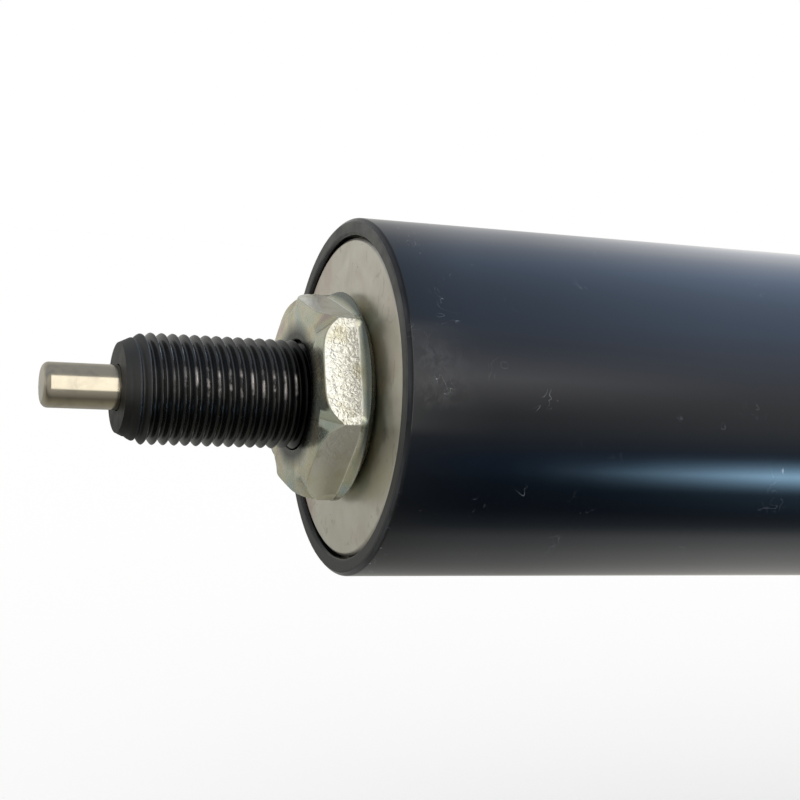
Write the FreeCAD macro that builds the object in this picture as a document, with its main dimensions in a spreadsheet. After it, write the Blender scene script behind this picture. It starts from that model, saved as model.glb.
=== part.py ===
import FreeCAD, Part
import math
import os
import Sketcher

# Lockable gas spring that runs in a guide tube, in millimetres.
# Everything turns about the X axis. The origin is the centre of the lock nut's front face,
# where a release head is screwed on. The threaded rod end and its release pin point to -X
# and the rear eye to +X. The spring is drawn at its full length, which is its rest.

SIZES = {
    # Hollow piston rod and its thread
    "rod_diameter": 10.0,
    "rod_lead_length": 1.8,
    "rod_lead_drop": 1.0,
    "rod_bore": 3.4,
    "thread_pitch": 1.0,
    "thread_reach": 16.2,
    "thread_overrun": 1.0,
    "tenon_step": 1.0,
    "tenon_length": 5.0,
    "stem_guide_length": 6.0,
    # Release pin
    "pin_head_diameter": 4.0,
    "pin_head_length": 12.0,
    "pin_shank_diameter": 3.0,
    "pin_reach": 6.6,
    "pin_tip_round": 0.6,
    "pin_travel": 2.5,
    "pin_gap": 0.08,
    "pin_end_room": 1.0,
    # Lock nut
    "nut_flats": 17.0,
    "nut_height": 5.0,
    "nut_face_step": 0.75,
    "nut_collar_step": 0.2,
    "nut_collar_thickness": 1.25,
    "nut_turn": 38.0,
    "nut_countersink": 0.2,
    "thread_gap": 0.05,
    # End disc
    "disc_thickness": 5.0,
    "disc_recess": 0.3,
    "disc_edge_gap": 0.3,
    "disc_lip_depth": 1.5,
    "disc_edge_break": 0.3,
    "hub_diameter": 18.0,
    "hub_length": 4.0,
    # Guide tube and its slide bush
    "guide_tube_wall": 1.6,
    "guide_overlap": 40.0,
    "tube_edge_break": 0.2,
    "slide_bush_wall": 0.85,
    "slide_bush_length": 20.0,
    "slide_bush_collar": 2.0,
    "slide_bush_lead": 0.5,
    "running_gap": 0.05,
    # Pressure tube
    "pressure_tube_diameter": 28.0,
    "pressure_tube_wall": 1.5,
    "rolled_lip": 2.0,
    "rolled_lip_round": 1.2,
    "bead_radius": 0.7,
    "bead_offset": 0.2,
    "bead_gap": 0.03,
    "stroke": 60.0,
    "compressed_gap": 4.0,
    "extended_gap": 0.2,
    "reserve_length": 6.0,
    # Rod guide with its bush, wiper and seals
    "rod_guide_length": 12.0,
    "rod_guide_bead_setback": 2.6,
    "rod_guide_gland_setback": 0.77,
    "rod_bush_wall": 0.95,
    "rod_bush_setback": 1.0,
    "wiper_thickness": 3.0,
    "wiper_margin": 0.5,
    "wiper_lip": 1.0,
    "guide_bore_gap": 0.4,
    "gland_width": 2.4,
    "gland_depth": 1.95,
    "seal_gap": 0.02,
    "rod_seal_length": 5.0,
    "rod_seal_lip": 1.1,
    "washer_thickness": 1.5,
    "washer_edge_gap": 0.1,
    "snap_ring_thickness": 1.2,
    "snap_ring_width": 2.0,
    "snap_ring_bite": 0.4,
    "snap_ring_gap": 0.05,
    "snap_ring_opening": 20.0,
    "stop_length": 5.2,
    "stop_edge_gap": 0.4,
    # Piston and its rings
    "piston_gap": 0.2,
    "piston_neck_wall": 4.0,
    "piston_ring_width": 3.9,
    "piston_ring_thickness": 1.4,
    "piston_ring_gap": 0.05,
    "piston_seal_cord": 2.4,
    "piston_land": 0.8,
    "crimp_rim": 1.1,
    # Valve in the piston
    "stem_diameter": 3.5,
    "stem_neck_diameter": 2.2,
    "stem_gap": 0.1,
    "stem_entry": 1.0,
    "stem_taper": 0.3,
    "stem_collar_diameter": 5.6,
    "stem_collar_thickness": 1.2,
    "valve_chamber_diameter": 7.2,
    "valve_gland_width": 1.9,
    "valve_sleeve_length": 9.1,
    "valve_sleeve_gap": 0.05,
    "valve_port_diameter": 1.5,
    "valve_port_at": 2.2,
    "cap_diameter": 10.0,
    "cap_thickness": 1.5,
    # End plug
    "plug_length": 12.0,
    "plug_gland_at": 3.1,
    "plug_bead_setback": 3.6,
    "plug_boss_step": 1.5,
    "plug_boss_length": 4.0,
    # Rear eye with its nut and bush
    "stud_diameter": 8.0,
    "stud_length": 11.0,
    "stud_room": 2.0,
    "eye_nut_flats": 13.0,
    "eye_nut_height": 4.0,
    "eye_nut_face_step": 0.4,
    "eye_nut_turn": 0.0,
    "eye_reach": 14.0,
    "eye_bore": 8.1,
    "eye_bush_wall": 0.95,
    "eye_ring_wall": 4.0,
    "eye_thickness": 10.0,
    "eye_edge_break": 0.6,
    "eye_shoulder_diameter": 12.0,
    "eye_shoulder_length": 2.0,
    "eye_neck_diameter": 9.0,
}

# Proportions of a metric thread and of a hexagon nut
DEPTH_SHARE = 0.6134
MOUTH_SHARE = 0.875
FLANK_SLOPE = math.tan(math.radians(30))
CORNER_OVER_FLATS = 0.5 / math.cos(math.radians(30))
NUT_FRONT_SLOPE = math.tan(math.radians(45))

# Share of the pitch by which the thread's cutting shape stands out past the crest
OVER_CREST_SHARE = 0.05

# How far a cut runs past what it cuts
BEYOND = 1.0

FULL_TURN = 360.0
SAME = 1e-4


class Size:
    """A length with its present value and the formula that ties it to the sheet."""

    def __init__(self, value, formula):
        self.value = value
        self.formula = formula

    @staticmethod
    def of(length):
        return length if isinstance(length, Size) else Size(float(length), str(float(length)))

    def __add__(self, other):
        other = Size.of(other)
        return Size(self.value + other.value, f"({self.formula} + {other.formula})")

    def __sub__(self, other):
        other = Size.of(other)
        return Size(self.value - other.value, f"({self.formula} - {other.formula})")

    def __mul__(self, factor):
        factor = Size.of(factor)
        return Size(self.value * factor.value, f"({self.formula} * {factor.formula})")

    def __truediv__(self, divisor):
        divisor = Size.of(divisor)
        return Size(self.value / divisor.value, f"({self.formula} / {divisor.formula})")


document = FreeCAD.newDocument("gas_spring")
sheet = document.addObject("Spreadsheet::Sheet", "sizes")
for row, (name, value) in enumerate(SIZES.items(), start=1):
    sheet.set(f"A{row}", name)
    sheet.set(f"B{row}", str(value))
    sheet.setAlias(f"B{row}", name)
document.recompute()


def size(name):
    """The named driving dimension."""
    return Size(SIZES[name], f"sizes.{name}")


def new_piece(name, along):
    """An empty body whose own origin lies on the axis, this far along it."""
    body = document.addObject("PartDesign::Body", name)
    body.Label = name
    body.setExpression("Placement.Base.x", Size.of(along).formula)
    return body


def new_sketch(body, role):
    """A sketch on one of the body's own origin planes."""
    plane = next(item for item in body.Origin.OriginFeatures if item.Role == role)
    sketch = body.newObject("Sketcher::SketchObject", f"{body.Label}_sketch")
    sketch.AttachmentSupport = (plane, "")
    sketch.MapMode = "FlatFace"
    return sketch


def hold(sketch, kind, edge, end, length):
    """Dimension one end of an edge from the sketch's origin."""
    length = Size.of(length)
    index = sketch.addConstraint(Sketcher.Constraint(kind, -1, 1, edge, end, length.value))
    sketch.setExpression(f"Constraints[{index}]", length.formula)


def outline(body, corners):
    """A closed outline of straight sides; a corner is a place along the axis and a radius."""
    sketch = new_sketch(body, "XY_Plane")
    corners = [(Size.of(along), Size.of(radius)) for along, radius in corners]
    points = [FreeCAD.Vector(along.value, radius.value, 0) for along, radius in corners]
    count = len(points)
    for index in range(count):
        sketch.addGeometry(Part.LineSegment(points[index], points[(index + 1) % count]), False)
    for index in range(count):
        sketch.addConstraint(Sketcher.Constraint("Coincident", index, 2, (index + 1) % count, 1))
    for index, (along, radius) in enumerate(corners):
        hold(sketch, "DistanceX", index, 1, along)
        hold(sketch, "DistanceY", index, 1, radius)
    return sketch


def circle(body, role, across, up, radius, *more_radii):
    """A sketch of one circle, or of several about one centre."""
    sketch = new_sketch(body, role)
    centre = FreeCAD.Vector(Size.of(across).value, Size.of(up).value, 0)
    for index, each in enumerate([radius, *more_radii]):
        sketch.addGeometry(Part.Circle(centre, FreeCAD.Vector(0, 0, 1), each.value), False)
        hold(sketch, "DistanceX", index, 3, across)
        hold(sketch, "DistanceY", index, 3, up)
        held = sketch.addConstraint(Sketcher.Constraint("Radius", index, each.value))
        sketch.setExpression(f"Constraints[{held}]", each.formula)
    return sketch


def turned(body, sketch, kind="Revolution", angle=FULL_TURN):
    """Turn a sketch about the axis: a Revolution adds metal and a Groove takes it away."""
    feature = body.newObject(f"PartDesign::{kind}", f"{body.Label}_{kind.lower()}")
    feature.Profile = sketch
    feature.ReferenceAxis = (sketch, ["H_Axis"])
    if isinstance(angle, Size):
        feature.setExpression("Angle", angle.formula)
    else:
        feature.Angle = angle
    document.recompute()
    return feature


def pressed(body, sketch, length, kind="Pad"):
    """Push a sketch out evenly to both sides of its plane, to add or to cut."""
    feature = body.newObject(f"PartDesign::{kind}", f"{body.Label}_{kind.lower()}")
    feature.Profile = sketch
    feature.Midplane = True
    feature.setExpression("Length", Size.of(length).formula)
    document.recompute()
    return feature


def round_edges(body, places, radius):
    """Round the circular edges that lie at these places along the axis and radii."""
    base = body.Tip
    names = []
    for along, at_radius in places:
        along = Size.of(along).value
        at_radius = Size.of(at_radius).value
        for index, edge in enumerate(base.Shape.Edges, start=1):
            curve = edge.Curve
            if not isinstance(curve, Part.Circle):
                continue
            on_axis = math.hypot(curve.Center.y, curve.Center.z) < SAME
            if on_axis and abs(curve.Center.x - along) < SAME and abs(curve.Radius - at_radius) < SAME:
                names.append(f"Edge{index}")
    feature = body.newObject("PartDesign::Fillet", f"{body.Label}_fillet")
    feature.Base = (base, names)
    feature.setExpression("Radius", radius.formula)
    document.recompute()
    return feature


def plain_ring(name, along, inner, outer, length):
    """A ring of square section."""
    body = new_piece(name, along)
    turned(body, outline(body, [(0, inner), (0, outer), (length, outer), (length, inner)]))
    return body


def cord_ring(name, along, inner, outer):
    """A rubber ring of round cord that fills the room between two radii."""
    cord = (outer - inner) / 2 - size("seal_gap")
    body = new_piece(name, along)
    turned(body, circle(body, "XY_Plane", 0, (outer + inner) / 2, cord))
    return body


def hexagon(body, flats, height, turn):
    """A length of hexagon bar about the axis."""
    corner = flats * CORNER_OVER_FLATS
    sketch = new_sketch(body, "YZ_Plane")
    points = []
    for index in range(6):
        angle = math.radians(turn.value - 30 + 60 * index)
        points.append(FreeCAD.Vector(corner.value * math.cos(angle), corner.value * math.sin(angle), 0))
    for index in range(6):
        sketch.addGeometry(Part.LineSegment(points[index], points[(index + 1) % 6]), False)
    ring = sketch.addGeometry(Part.Circle(FreeCAD.Vector(), FreeCAD.Vector(0, 0, 1), corner.value), True)
    sketch.addConstraint(Sketcher.Constraint("Coincident", ring, 3, -1, 1))
    for index in range(6):
        sketch.addConstraint(Sketcher.Constraint("Coincident", index, 2, (index + 1) % 6, 1))
        sketch.addConstraint(Sketcher.Constraint("PointOnObject", index, 1, ring))
    for index in range(1, 6):
        sketch.addConstraint(Sketcher.Constraint("Equal", 0, index))
    held = sketch.addConstraint(Sketcher.Constraint("Radius", ring, corner.value))
    sketch.setExpression(f"Constraints[{held}]", corner.formula)
    side_angle = turn + 90
    held = sketch.addConstraint(Sketcher.Constraint("Angle", 0, math.radians(side_angle.value)))
    sketch.setExpression(f"Constraints[{held}]", side_angle.formula)

    pad = body.newObject("PartDesign::Pad", f"{body.Label}_hexagon")
    pad.Profile = sketch
    pad.setExpression("Length", height.formula)
    document.recompute()


def bevel_corners(body, flats, along, radius, slope):
    """Turn a hexagon's corners off in a cone that has this radius at this place along the axis."""
    clear = flats * CORNER_OVER_FLATS + BEYOND
    top = Size.of(along) + (clear - radius) * slope
    turned(body, outline(body, [(along, radius), (along, clear), (top, clear)]), "Groove")


def nut_hole(body, bore, height):
    """Plain hole through a nut, over the thread's crest, countersunk at both faces."""
    sink = size("nut_countersink")
    turned(body, outline(body, [
        (0, 0), (height, 0), (height, bore + sink), (height - sink, bore), (sink, bore),
        (0, bore + sink),
    ]), "Groove")


# Radii that pieces share
rod_radius = size("rod_diameter") / 2
tenon_radius = rod_radius - size("tenon_step")
thread_bore = rod_radius + size("thread_gap")
rod_running = rod_radius + size("running_gap")
tube_outer = size("pressure_tube_diameter") / 2
tube_inner = tube_outer - size("pressure_tube_wall")
lip_radius = tube_inner - size("rolled_lip")
slide_bore = tube_outer + size("running_gap")
guide_inner = slide_bore + size("slide_bush_wall")
guide_outer = guide_inner + size("guide_tube_wall")
rod_bush_outer = rod_running + size("rod_bush_wall")
gland_floor = tube_inner - size("gland_depth")
hub_radius = size("hub_diameter") / 2
stem_radius = size("stem_diameter") / 2
stem_bore = stem_radius + size("stem_gap")
chamber_radius = size("valve_chamber_diameter") / 2
cap_radius = size("cap_diameter") / 2

# Places along the axis from the lock nut's front face back to the eye
disc_front = size("nut_height")
guide_tube_front = disc_front - size("disc_recess")
disc_back = disc_front + size("disc_thickness")
hub_back = disc_back + size("hub_length")
tube_front = hub_back + size("compressed_gap") + size("stroke")
guide_tube_back = tube_front + size("guide_overlap")
rod_guide_front = tube_front + size("pressure_tube_wall")
rod_seal_front = rod_guide_front + size("rod_guide_length")
washer_front = rod_seal_front + size("rod_seal_length")
washer_back = washer_front + size("washer_thickness")
piston_front = washer_back + size("stop_length") + size("extended_gap")

# Places along the rod guide and along the end plug, each from its own front face
bead_half = size("bead_radius") + size("bead_gap")
rod_guide_bead = size("rod_guide_length") - size("rod_guide_bead_setback")
rod_guide_gland_end = rod_guide_bead - bead_half - size("rod_guide_gland_setback")
rod_guide_gland = rod_guide_gland_end - size("gland_width")
rod_bush_seat = size("wiper_thickness") + size("rod_bush_setback")
rod_bush_length = size("rod_guide_length") - rod_bush_seat
plug_gland_end = size("plug_gland_at") + size("gland_width")
plug_bead = size("plug_length") - size("plug_bead_setback")

# Places along the piston, from its front face
inner_seal_front = size("tenon_length")
sleeve_front = inner_seal_front + size("valve_gland_width")
outer_seal_front = sleeve_front + size("valve_sleeve_length")
cap_front = outer_seal_front + size("valve_gland_width")
cap_back = cap_front + size("cap_thickness")
piston_length = cap_back + size("crimp_rim")
stem_length = cap_back + size("stem_collar_thickness") - size("stem_entry")
piston_land = size("piston_land")
seal_groove_back = piston_length - piston_land * 2
seal_groove_front = seal_groove_back - size("piston_seal_cord") - size("piston_ring_gap") * 2
ring_groove_back = seal_groove_front - piston_land
ring_groove_front = ring_groove_back - size("piston_ring_width") - size("piston_ring_gap") * 2
flange_front = ring_groove_front - piston_land
valve_port = sleeve_front + size("valve_port_at")

# The rest of the places along the axis
stem_front = piston_front + size("stem_entry")
stem_back = stem_front + stem_length
plug_front = stem_back + size("pin_travel") + size("stroke") + size("reserve_length")
plug_back = plug_front + size("plug_length")
tube_back = plug_back + size("pressure_tube_wall")
boss_back = tube_back + size("plug_boss_length")
eye_nut_back = boss_back + size("eye_nut_height")
eye_centre = eye_nut_back + size("eye_reach")


def make_guide_tube():
    """Outer steel tube, open at both ends, its cut edges lightly broken."""
    length = guide_tube_back - guide_tube_front
    edge = size("tube_edge_break")
    body = new_piece("guide_tube", guide_tube_front)
    turned(body, outline(body, [
        (0, guide_inner + edge), (0, guide_outer - edge), (edge, guide_outer),
        (length - edge, guide_outer), (length, guide_outer - edge),
        (length, guide_inner + edge), (length - edge, guide_inner), (edge, guide_inner),
    ]))


def make_end_disc():
    """Turned steel disc, pressed into the guide tube and screwed on to the rod through its hub."""
    lip = guide_inner - size("disc_edge_gap")
    edge = size("disc_edge_break")
    back = size("disc_thickness")
    body = new_piece("end_disc", disc_front)
    turned(body, outline(body, [
        (0, thread_bore), (0, lip - edge), (edge, lip), (size("disc_lip_depth"), lip),
        (size("disc_lip_depth"), guide_inner), (back, guide_inner), (back, hub_radius),
        (back + size("hub_length"), hub_radius), (back + size("hub_length"), thread_bore),
    ]))


def make_lock_nut():
    """Thin hexagon nut with a round collar behind, which locks the disc on the rod's thread."""
    flats = size("nut_flats")
    height = size("nut_height")
    collar = flats / 2 + size("nut_collar_step")
    collar_front = height - size("nut_collar_thickness")
    body = new_piece("lock_nut", 0)
    hexagon(body, flats, collar_front, size("nut_turn"))
    bevel_corners(body, flats, 0, flats / 2 - size("nut_face_step"), NUT_FRONT_SLOPE)
    bevel_corners(body, flats, collar_front, collar, FLANK_SLOPE * -1)
    turned(body, outline(body, [(collar_front, 0), (collar_front, collar), (height, collar), (height, 0)]))
    nut_hole(body, thread_bore, height)


def make_slide_bush():
    """Plastic bush in the guide tube's open end, with a collar that covers the tube's edge."""
    length = size("slide_bush_length")
    lead = size("slide_bush_lead")
    back = length + size("slide_bush_collar")
    body = new_piece("slide_bush", guide_tube_back - length)
    turned(body, outline(body, [
        (0, slide_bore), (0, guide_inner - lead), (lead * 2, guide_inner), (length, guide_inner),
        (length, guide_outer), (back - lead, guide_outer), (back, guide_outer - lead),
        (back, slide_bore + lead), (back - lead, slide_bore),
    ]))


def make_piston_rod():
    """Hollow steel rod with a cut thread at the front and a tenon for the piston at the back."""
    front = size("thread_reach") * -1
    shoulder = piston_front - front
    back = shoulder + size("tenon_length")
    bore = size("rod_bore") / 2
    head_bore = size("pin_head_diameter") / 2 + size("pin_gap")
    head_depth = (size("pin_head_length") - size("pin_reach")
                  + size("pin_travel") + size("pin_end_room"))
    guide_depth = size("stem_guide_length")
    body = new_piece("piston_rod", front)
    turned(body, outline(body, [
        (0, head_bore), (0, rod_radius - size("rod_lead_drop")), (size("rod_lead_length"), rod_radius),
        (shoulder, rod_radius), (shoulder, tenon_radius), (back, tenon_radius),
        (back, stem_bore), (back - guide_depth, stem_bore), (back - guide_depth, bore),
        (head_depth, bore), (head_depth, head_bore),
    ]))

    pitch = size("thread_pitch")
    root = rod_radius - pitch * DEPTH_SHARE
    over = pitch * OVER_CREST_SHARE
    half_mouth = pitch * (MOUTH_SHARE / 2) + over * FLANK_SLOPE
    half_root = pitch * (MOUTH_SHARE / 2) - pitch * (DEPTH_SHARE * FLANK_SLOPE)
    middle = pitch * -1
    groove = outline(body, [
        (middle - half_mouth, rod_radius + over), (middle + half_mouth, rod_radius + over),
        (middle + half_root, root), (middle - half_root, root),
    ])
    thread = body.newObject("PartDesign::SubtractiveHelix", "piston_rod_thread")
    thread.Profile = groove
    thread.ReferenceAxis = (groove, ["H_Axis"])
    thread.Mode = "pitch-height-angle"
    thread.setExpression("Pitch", pitch.formula)
    thread.setExpression("Height", (hub_back - front + size("thread_overrun") + pitch).formula)
    document.recompute()


def make_release_pin():
    """Steel pin through the rod: pushed in, it opens the valve in the piston."""
    head = size("pin_head_diameter") / 2
    shank = size("pin_shank_diameter") / 2
    front = (size("thread_reach") + size("pin_reach")) * -1
    length = stem_front - front
    body = new_piece("release_pin", front)
    turned(body, outline(body, [
        (0, 0), (0, head), (size("pin_head_length"), head), (size("pin_head_length"), shank),
        (length, shank), (length, 0),
    ]))
    round_edges(body, [(0, head)], size("pin_tip_round"))


def make_pressure_tube():
    """Steel tube that holds the gas, its ends rolled in and beaded on to the guide and the plug."""
    wall = size("pressure_tube_wall")
    length = tube_back - tube_front
    ring_front = washer_back - tube_front
    ring_back = ring_front + size("snap_ring_thickness") + size("snap_ring_gap")
    ring_seat = tube_inner + size("snap_ring_bite") + size("snap_ring_gap")
    body = new_piece("pressure_tube", tube_front)
    turned(body, outline(body, [
        (0, lip_radius), (0, tube_outer), (length, tube_outer), (length, lip_radius),
        (length - wall, lip_radius), (length - wall, tube_inner),
        (ring_back, tube_inner), (ring_back, ring_seat), (ring_front, ring_seat),
        (ring_front, tube_inner), (wall, tube_inner), (wall, lip_radius),
    ]))
    round_edges(body, [(0, tube_outer), (length, tube_outer)], size("rolled_lip_round"))
    bead_places = [wall + rod_guide_bead, plug_front - tube_front + plug_bead]
    for along in bead_places:
        outside = circle(body, "XY_Plane", along, tube_outer + size("bead_offset"), size("bead_radius"))
        turned(body, outside, "Groove")
        inside = circle(body, "XY_Plane", along, tube_inner + size("bead_offset"), size("bead_radius"))
        turned(body, inside)


def bead_seat(body, along):
    """Groove that takes the pressure tube's rolled bead."""
    turned(body, circle(body, "XY_Plane", along, tube_inner + size("bead_offset"), bead_half), "Groove")


def make_rod_guide():
    """Aluminium guide at the tube's mouth, with seats for the wiper, the bush and a rubber ring."""
    length = size("rod_guide_length")
    wiper_seat = lip_radius - size("wiper_margin")
    clear = rod_radius + size("guide_bore_gap")
    body = new_piece("rod_guide", rod_guide_front)
    turned(body, outline(body, [
        (0, wiper_seat), (0, tube_inner), (rod_guide_gland, tube_inner), (rod_guide_gland, gland_floor),
        (rod_guide_gland_end, gland_floor), (rod_guide_gland_end, tube_inner), (length, tube_inner),
        (length, rod_bush_outer), (rod_bush_seat, rod_bush_outer), (rod_bush_seat, clear),
        (size("wiper_thickness"), clear), (size("wiper_thickness"), wiper_seat),
    ]))
    bead_seat(body, rod_guide_bead)


def make_rod_bush():
    """Plain bearing bush that carries the rod in its guide."""
    plain_ring("rod_bush", rod_guide_front + rod_bush_seat, rod_running, rod_bush_outer, rod_bush_length)


def make_rod_wiper():
    """Wiper ring in the guide's front recess, its lip leaning forwards along the rod."""
    outer = lip_radius - size("wiper_margin")
    lip = size("wiper_lip")
    back = lip + size("wiper_thickness")
    waist = rod_running + lip
    body = new_piece("rod_wiper", rod_guide_front - lip)
    turned(body, outline(body, [
        (0, rod_running), (0, rod_running + lip / 2), (lip, waist + lip), (lip, outer), (back, outer),
        (back, waist), (lip * 1.5, waist), (lip / 2, rod_running),
    ]))


def make_guide_seal():
    """Rubber ring between the rod guide and the pressure tube."""
    along = rod_guide_front + (rod_guide_gland + rod_guide_gland_end) / 2
    cord_ring("guide_seal", along, gland_floor, tube_inner)


def make_rod_seal():
    """Lip seal that keeps the gas in, its two lips spread towards the gas."""
    length = size("rod_seal_length")
    lip = size("rod_seal_lip")
    middle = (rod_running + tube_inner) / 2
    body = new_piece("rod_seal", rod_seal_front)
    turned(body, outline(body, [
        (0, rod_running + lip / 4), (0, tube_inner), (length, tube_inner), (length, tube_inner - lip),
        (length / 2, middle + lip), (length / 2, middle - lip), (length, rod_running + lip * 1.3),
        (length, rod_running + lip / 2), (length - lip / 2, rod_running), (length - lip, rod_running),
        (length / 2, rod_running + lip / 4),
    ]))


def make_seal_washer():
    """Steel washer that backs the lip seal."""
    clear = rod_radius + size("guide_bore_gap")
    outer = tube_inner - size("washer_edge_gap")
    plain_ring("seal_washer", washer_front, clear, outer, size("washer_thickness"))


def make_snap_ring():
    """Open spring ring, seated in the tube's inner groove, that holds the washer and the seals."""
    outer = tube_inner + size("snap_ring_bite")
    inner = outer - size("snap_ring_width")
    thickness = size("snap_ring_thickness")
    opening = size("snap_ring_opening")
    body = new_piece("snap_ring", washer_back)
    ring = outline(body, [(0, inner), (0, outer), (thickness, outer), (thickness, inner)])
    turned(body, ring, "Revolution", Size.of(FULL_TURN) - opening)


def make_extension_stop():
    """Elastic ring on the rod, inside the snap ring, that the piston meets at full length."""
    clear = rod_radius + size("guide_bore_gap")
    outer = tube_inner + size("snap_ring_bite") - size("snap_ring_width") - size("stop_edge_gap")
    plain_ring("extension_stop", washer_back, clear, outer, size("stop_length"))


def make_piston():
    """Turned piston on the rod's tenon: a drilled neck, and a flange with a ring and a seal."""
    neck = tenon_radius + size("piston_neck_wall")
    flange = tube_inner - size("piston_gap")
    ring_floor = (tube_inner - size("piston_ring_gap") - size("piston_ring_thickness")
                  - size("piston_ring_gap"))
    seal_floor = tube_inner - size("piston_ring_gap") - size("piston_seal_cord") - size("seal_gap")
    body = new_piece("piston", piston_front)
    turned(body, outline(body, [
        (0, tenon_radius), (0, neck), (flange_front, neck), (flange_front, flange),
        (ring_groove_front, flange), (ring_groove_front, ring_floor),
        (ring_groove_back, ring_floor), (ring_groove_back, flange),
        (seal_groove_front, flange), (seal_groove_front, seal_floor),
        (seal_groove_back, seal_floor), (seal_groove_back, flange),
        (seal_groove_back + piston_land, flange), (piston_length, flange - piston_land),
        (piston_length, cap_radius), (cap_front, cap_radius), (cap_front, chamber_radius),
        (size("tenon_length"), chamber_radius), (size("tenon_length"), tenon_radius),
    ]))
    port = circle(body, "XY_Plane", valve_port, 0, size("valve_port_diameter") / 2)
    pressed(body, port, (neck + BEYOND) * 2, "Pocket")


def make_piston_ring():
    """Low-friction band that guides the piston in the tube."""
    outer = tube_inner - size("piston_ring_gap")
    along = piston_front + ring_groove_front + size("piston_ring_gap")
    inner = outer - size("piston_ring_thickness")
    plain_ring("piston_ring", along, inner, outer, size("piston_ring_width"))


def make_piston_seal():
    """Rubber ring that parts the gas in front of the piston from the gas behind it."""
    outer = tube_inner - size("piston_ring_gap") + size("seal_gap")
    inner = outer - size("piston_seal_cord") - size("seal_gap") * 2
    along = piston_front + (seal_groove_front + seal_groove_back) / 2
    cord_ring("piston_seal", along, inner, outer)


def make_valve_seals():
    """Two rubber rings about the valve stem, one on each side of the sleeve."""
    half = size("valve_gland_width") / 2
    cord_ring("valve_inner_seal", piston_front + inner_seal_front + half, stem_radius, chamber_radius)
    cord_ring("valve_outer_seal", piston_front + outer_seal_front + half, stem_radius, chamber_radius)


def make_valve_sleeve():
    """Spacer between the valve's two rubber rings, cross-drilled in line with the piston's neck."""
    outer = chamber_radius - size("valve_sleeve_gap")
    inner = stem_radius + size("stem_gap") * 3
    length = size("valve_sleeve_length")
    body = plain_ring("valve_sleeve", piston_front + sleeve_front, inner, outer, length)
    port = circle(body, "XY_Plane", size("valve_port_at"), 0, size("valve_port_diameter") / 2)
    pressed(body, port, (outer + BEYOND) * 2, "Pocket")


def make_piston_cap():
    """Disc crimped into the piston's back, which holds the valve's seals and stops its stem."""
    plain_ring("piston_cap", piston_front + cap_front, stem_bore, cap_radius, size("cap_thickness"))


def make_valve_stem():
    """Valve stem: pushed back, its thin waist comes under the outer seal and lets gas through."""
    neck = size("stem_neck_diameter") / 2
    taper = size("stem_taper")
    entry = size("stem_entry")
    waist_front = sleeve_front + taper - entry
    waist_back = outer_seal_front - taper - entry
    collar = size("stem_collar_diameter") / 2
    collar_front = cap_back - entry
    body = new_piece("valve_stem", stem_front)
    turned(body, outline(body, [
        (0, 0), (0, stem_radius), (waist_front, stem_radius), (waist_front + taper, neck),
        (waist_back - taper, neck), (waist_back, stem_radius), (collar_front, stem_radius),
        (collar_front, collar), (stem_length, collar), (stem_length, 0),
    ]))


def make_end_plug():
    """Plug that closes the tube's back end, with a tapped boss for the rear eye."""
    length = size("plug_length")
    gland = size("plug_gland_at")
    boss = lip_radius - size("plug_boss_step")
    back = boss_back - plug_front
    hole = size("stud_diameter") / 2 + size("thread_gap")
    hole_front = back - size("stud_length") - size("stud_room")
    body = new_piece("end_plug", plug_front)
    turned(body, outline(body, [
        (0, 0), (0, tube_inner), (gland, tube_inner), (gland, gland_floor),
        (plug_gland_end, gland_floor), (plug_gland_end, tube_inner), (length, tube_inner),
        (length, boss), (back, boss), (back, hole), (hole_front, hole), (hole_front, 0),
    ]))
    bead_seat(body, plug_bead)


def make_plug_seal():
    """Rubber ring between the end plug and the pressure tube."""
    along = plug_front + (size("plug_gland_at") + plug_gland_end) / 2
    cord_ring("plug_seal", along, gland_floor, tube_inner)


def make_eye_nut():
    """Thin nut that locks the rear eye's stud in the plug's boss."""
    flats = size("eye_nut_flats")
    height = size("eye_nut_height")
    face = flats / 2 - size("eye_nut_face_step")
    body = new_piece("eye_nut", boss_back)
    hexagon(body, flats, height, size("eye_nut_turn"))
    bevel_corners(body, flats, 0, face, FLANK_SLOPE)
    bevel_corners(body, flats, height, face, FLANK_SLOPE * -1)
    nut_hole(body, size("stud_diameter") / 2 + size("thread_gap"), height)


def make_rear_eye():
    """Forged eye on a stud, its hole across the axis."""
    stud = size("stud_diameter") / 2
    shoulder = size("eye_shoulder_diameter") / 2
    neck = size("eye_neck_diameter") / 2
    edge = size("eye_edge_break")
    seat = size("stud_length") + size("eye_nut_height")
    centre = seat + size("eye_reach")
    hole = size("eye_bore") / 2 + size("eye_bush_wall")
    rim = hole + size("eye_ring_wall")
    body = new_piece("rear_eye", eye_centre - centre)
    pressed(body, circle(body, "XZ_Plane", centre, 0, rim), size("eye_thickness"))
    ring = body.Tip
    names = []
    for index, each in enumerate(ring.Shape.Edges, start=1):
        if isinstance(each.Curve, Part.Circle):
            names.append(f"Edge{index}")
    chamfer = body.newObject("PartDesign::Chamfer", "rear_eye_chamfer")
    chamfer.Base = (ring, names)
    chamfer.setExpression("Size", edge.formula)
    document.recompute()
    turned(body, outline(body, [
        (0, 0), (0, stud - edge), (edge, stud), (seat, stud), (seat, shoulder),
        (seat + size("eye_shoulder_length"), shoulder), (centre - hole - edge, neck),
        (centre - hole - edge, 0),
    ]))
    pressed(body, circle(body, "XZ_Plane", centre, 0, hole), size("eye_thickness") * 2, "Pocket")


def make_eye_bush():
    """Bush pressed into the eye, for a pin across the axis."""
    bore = size("eye_bore") / 2
    body = new_piece("eye_bush", eye_centre)
    ring = circle(body, "XZ_Plane", 0, 0, bore, bore + size("eye_bush_wall"))
    pressed(body, ring, size("eye_thickness"))


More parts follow.
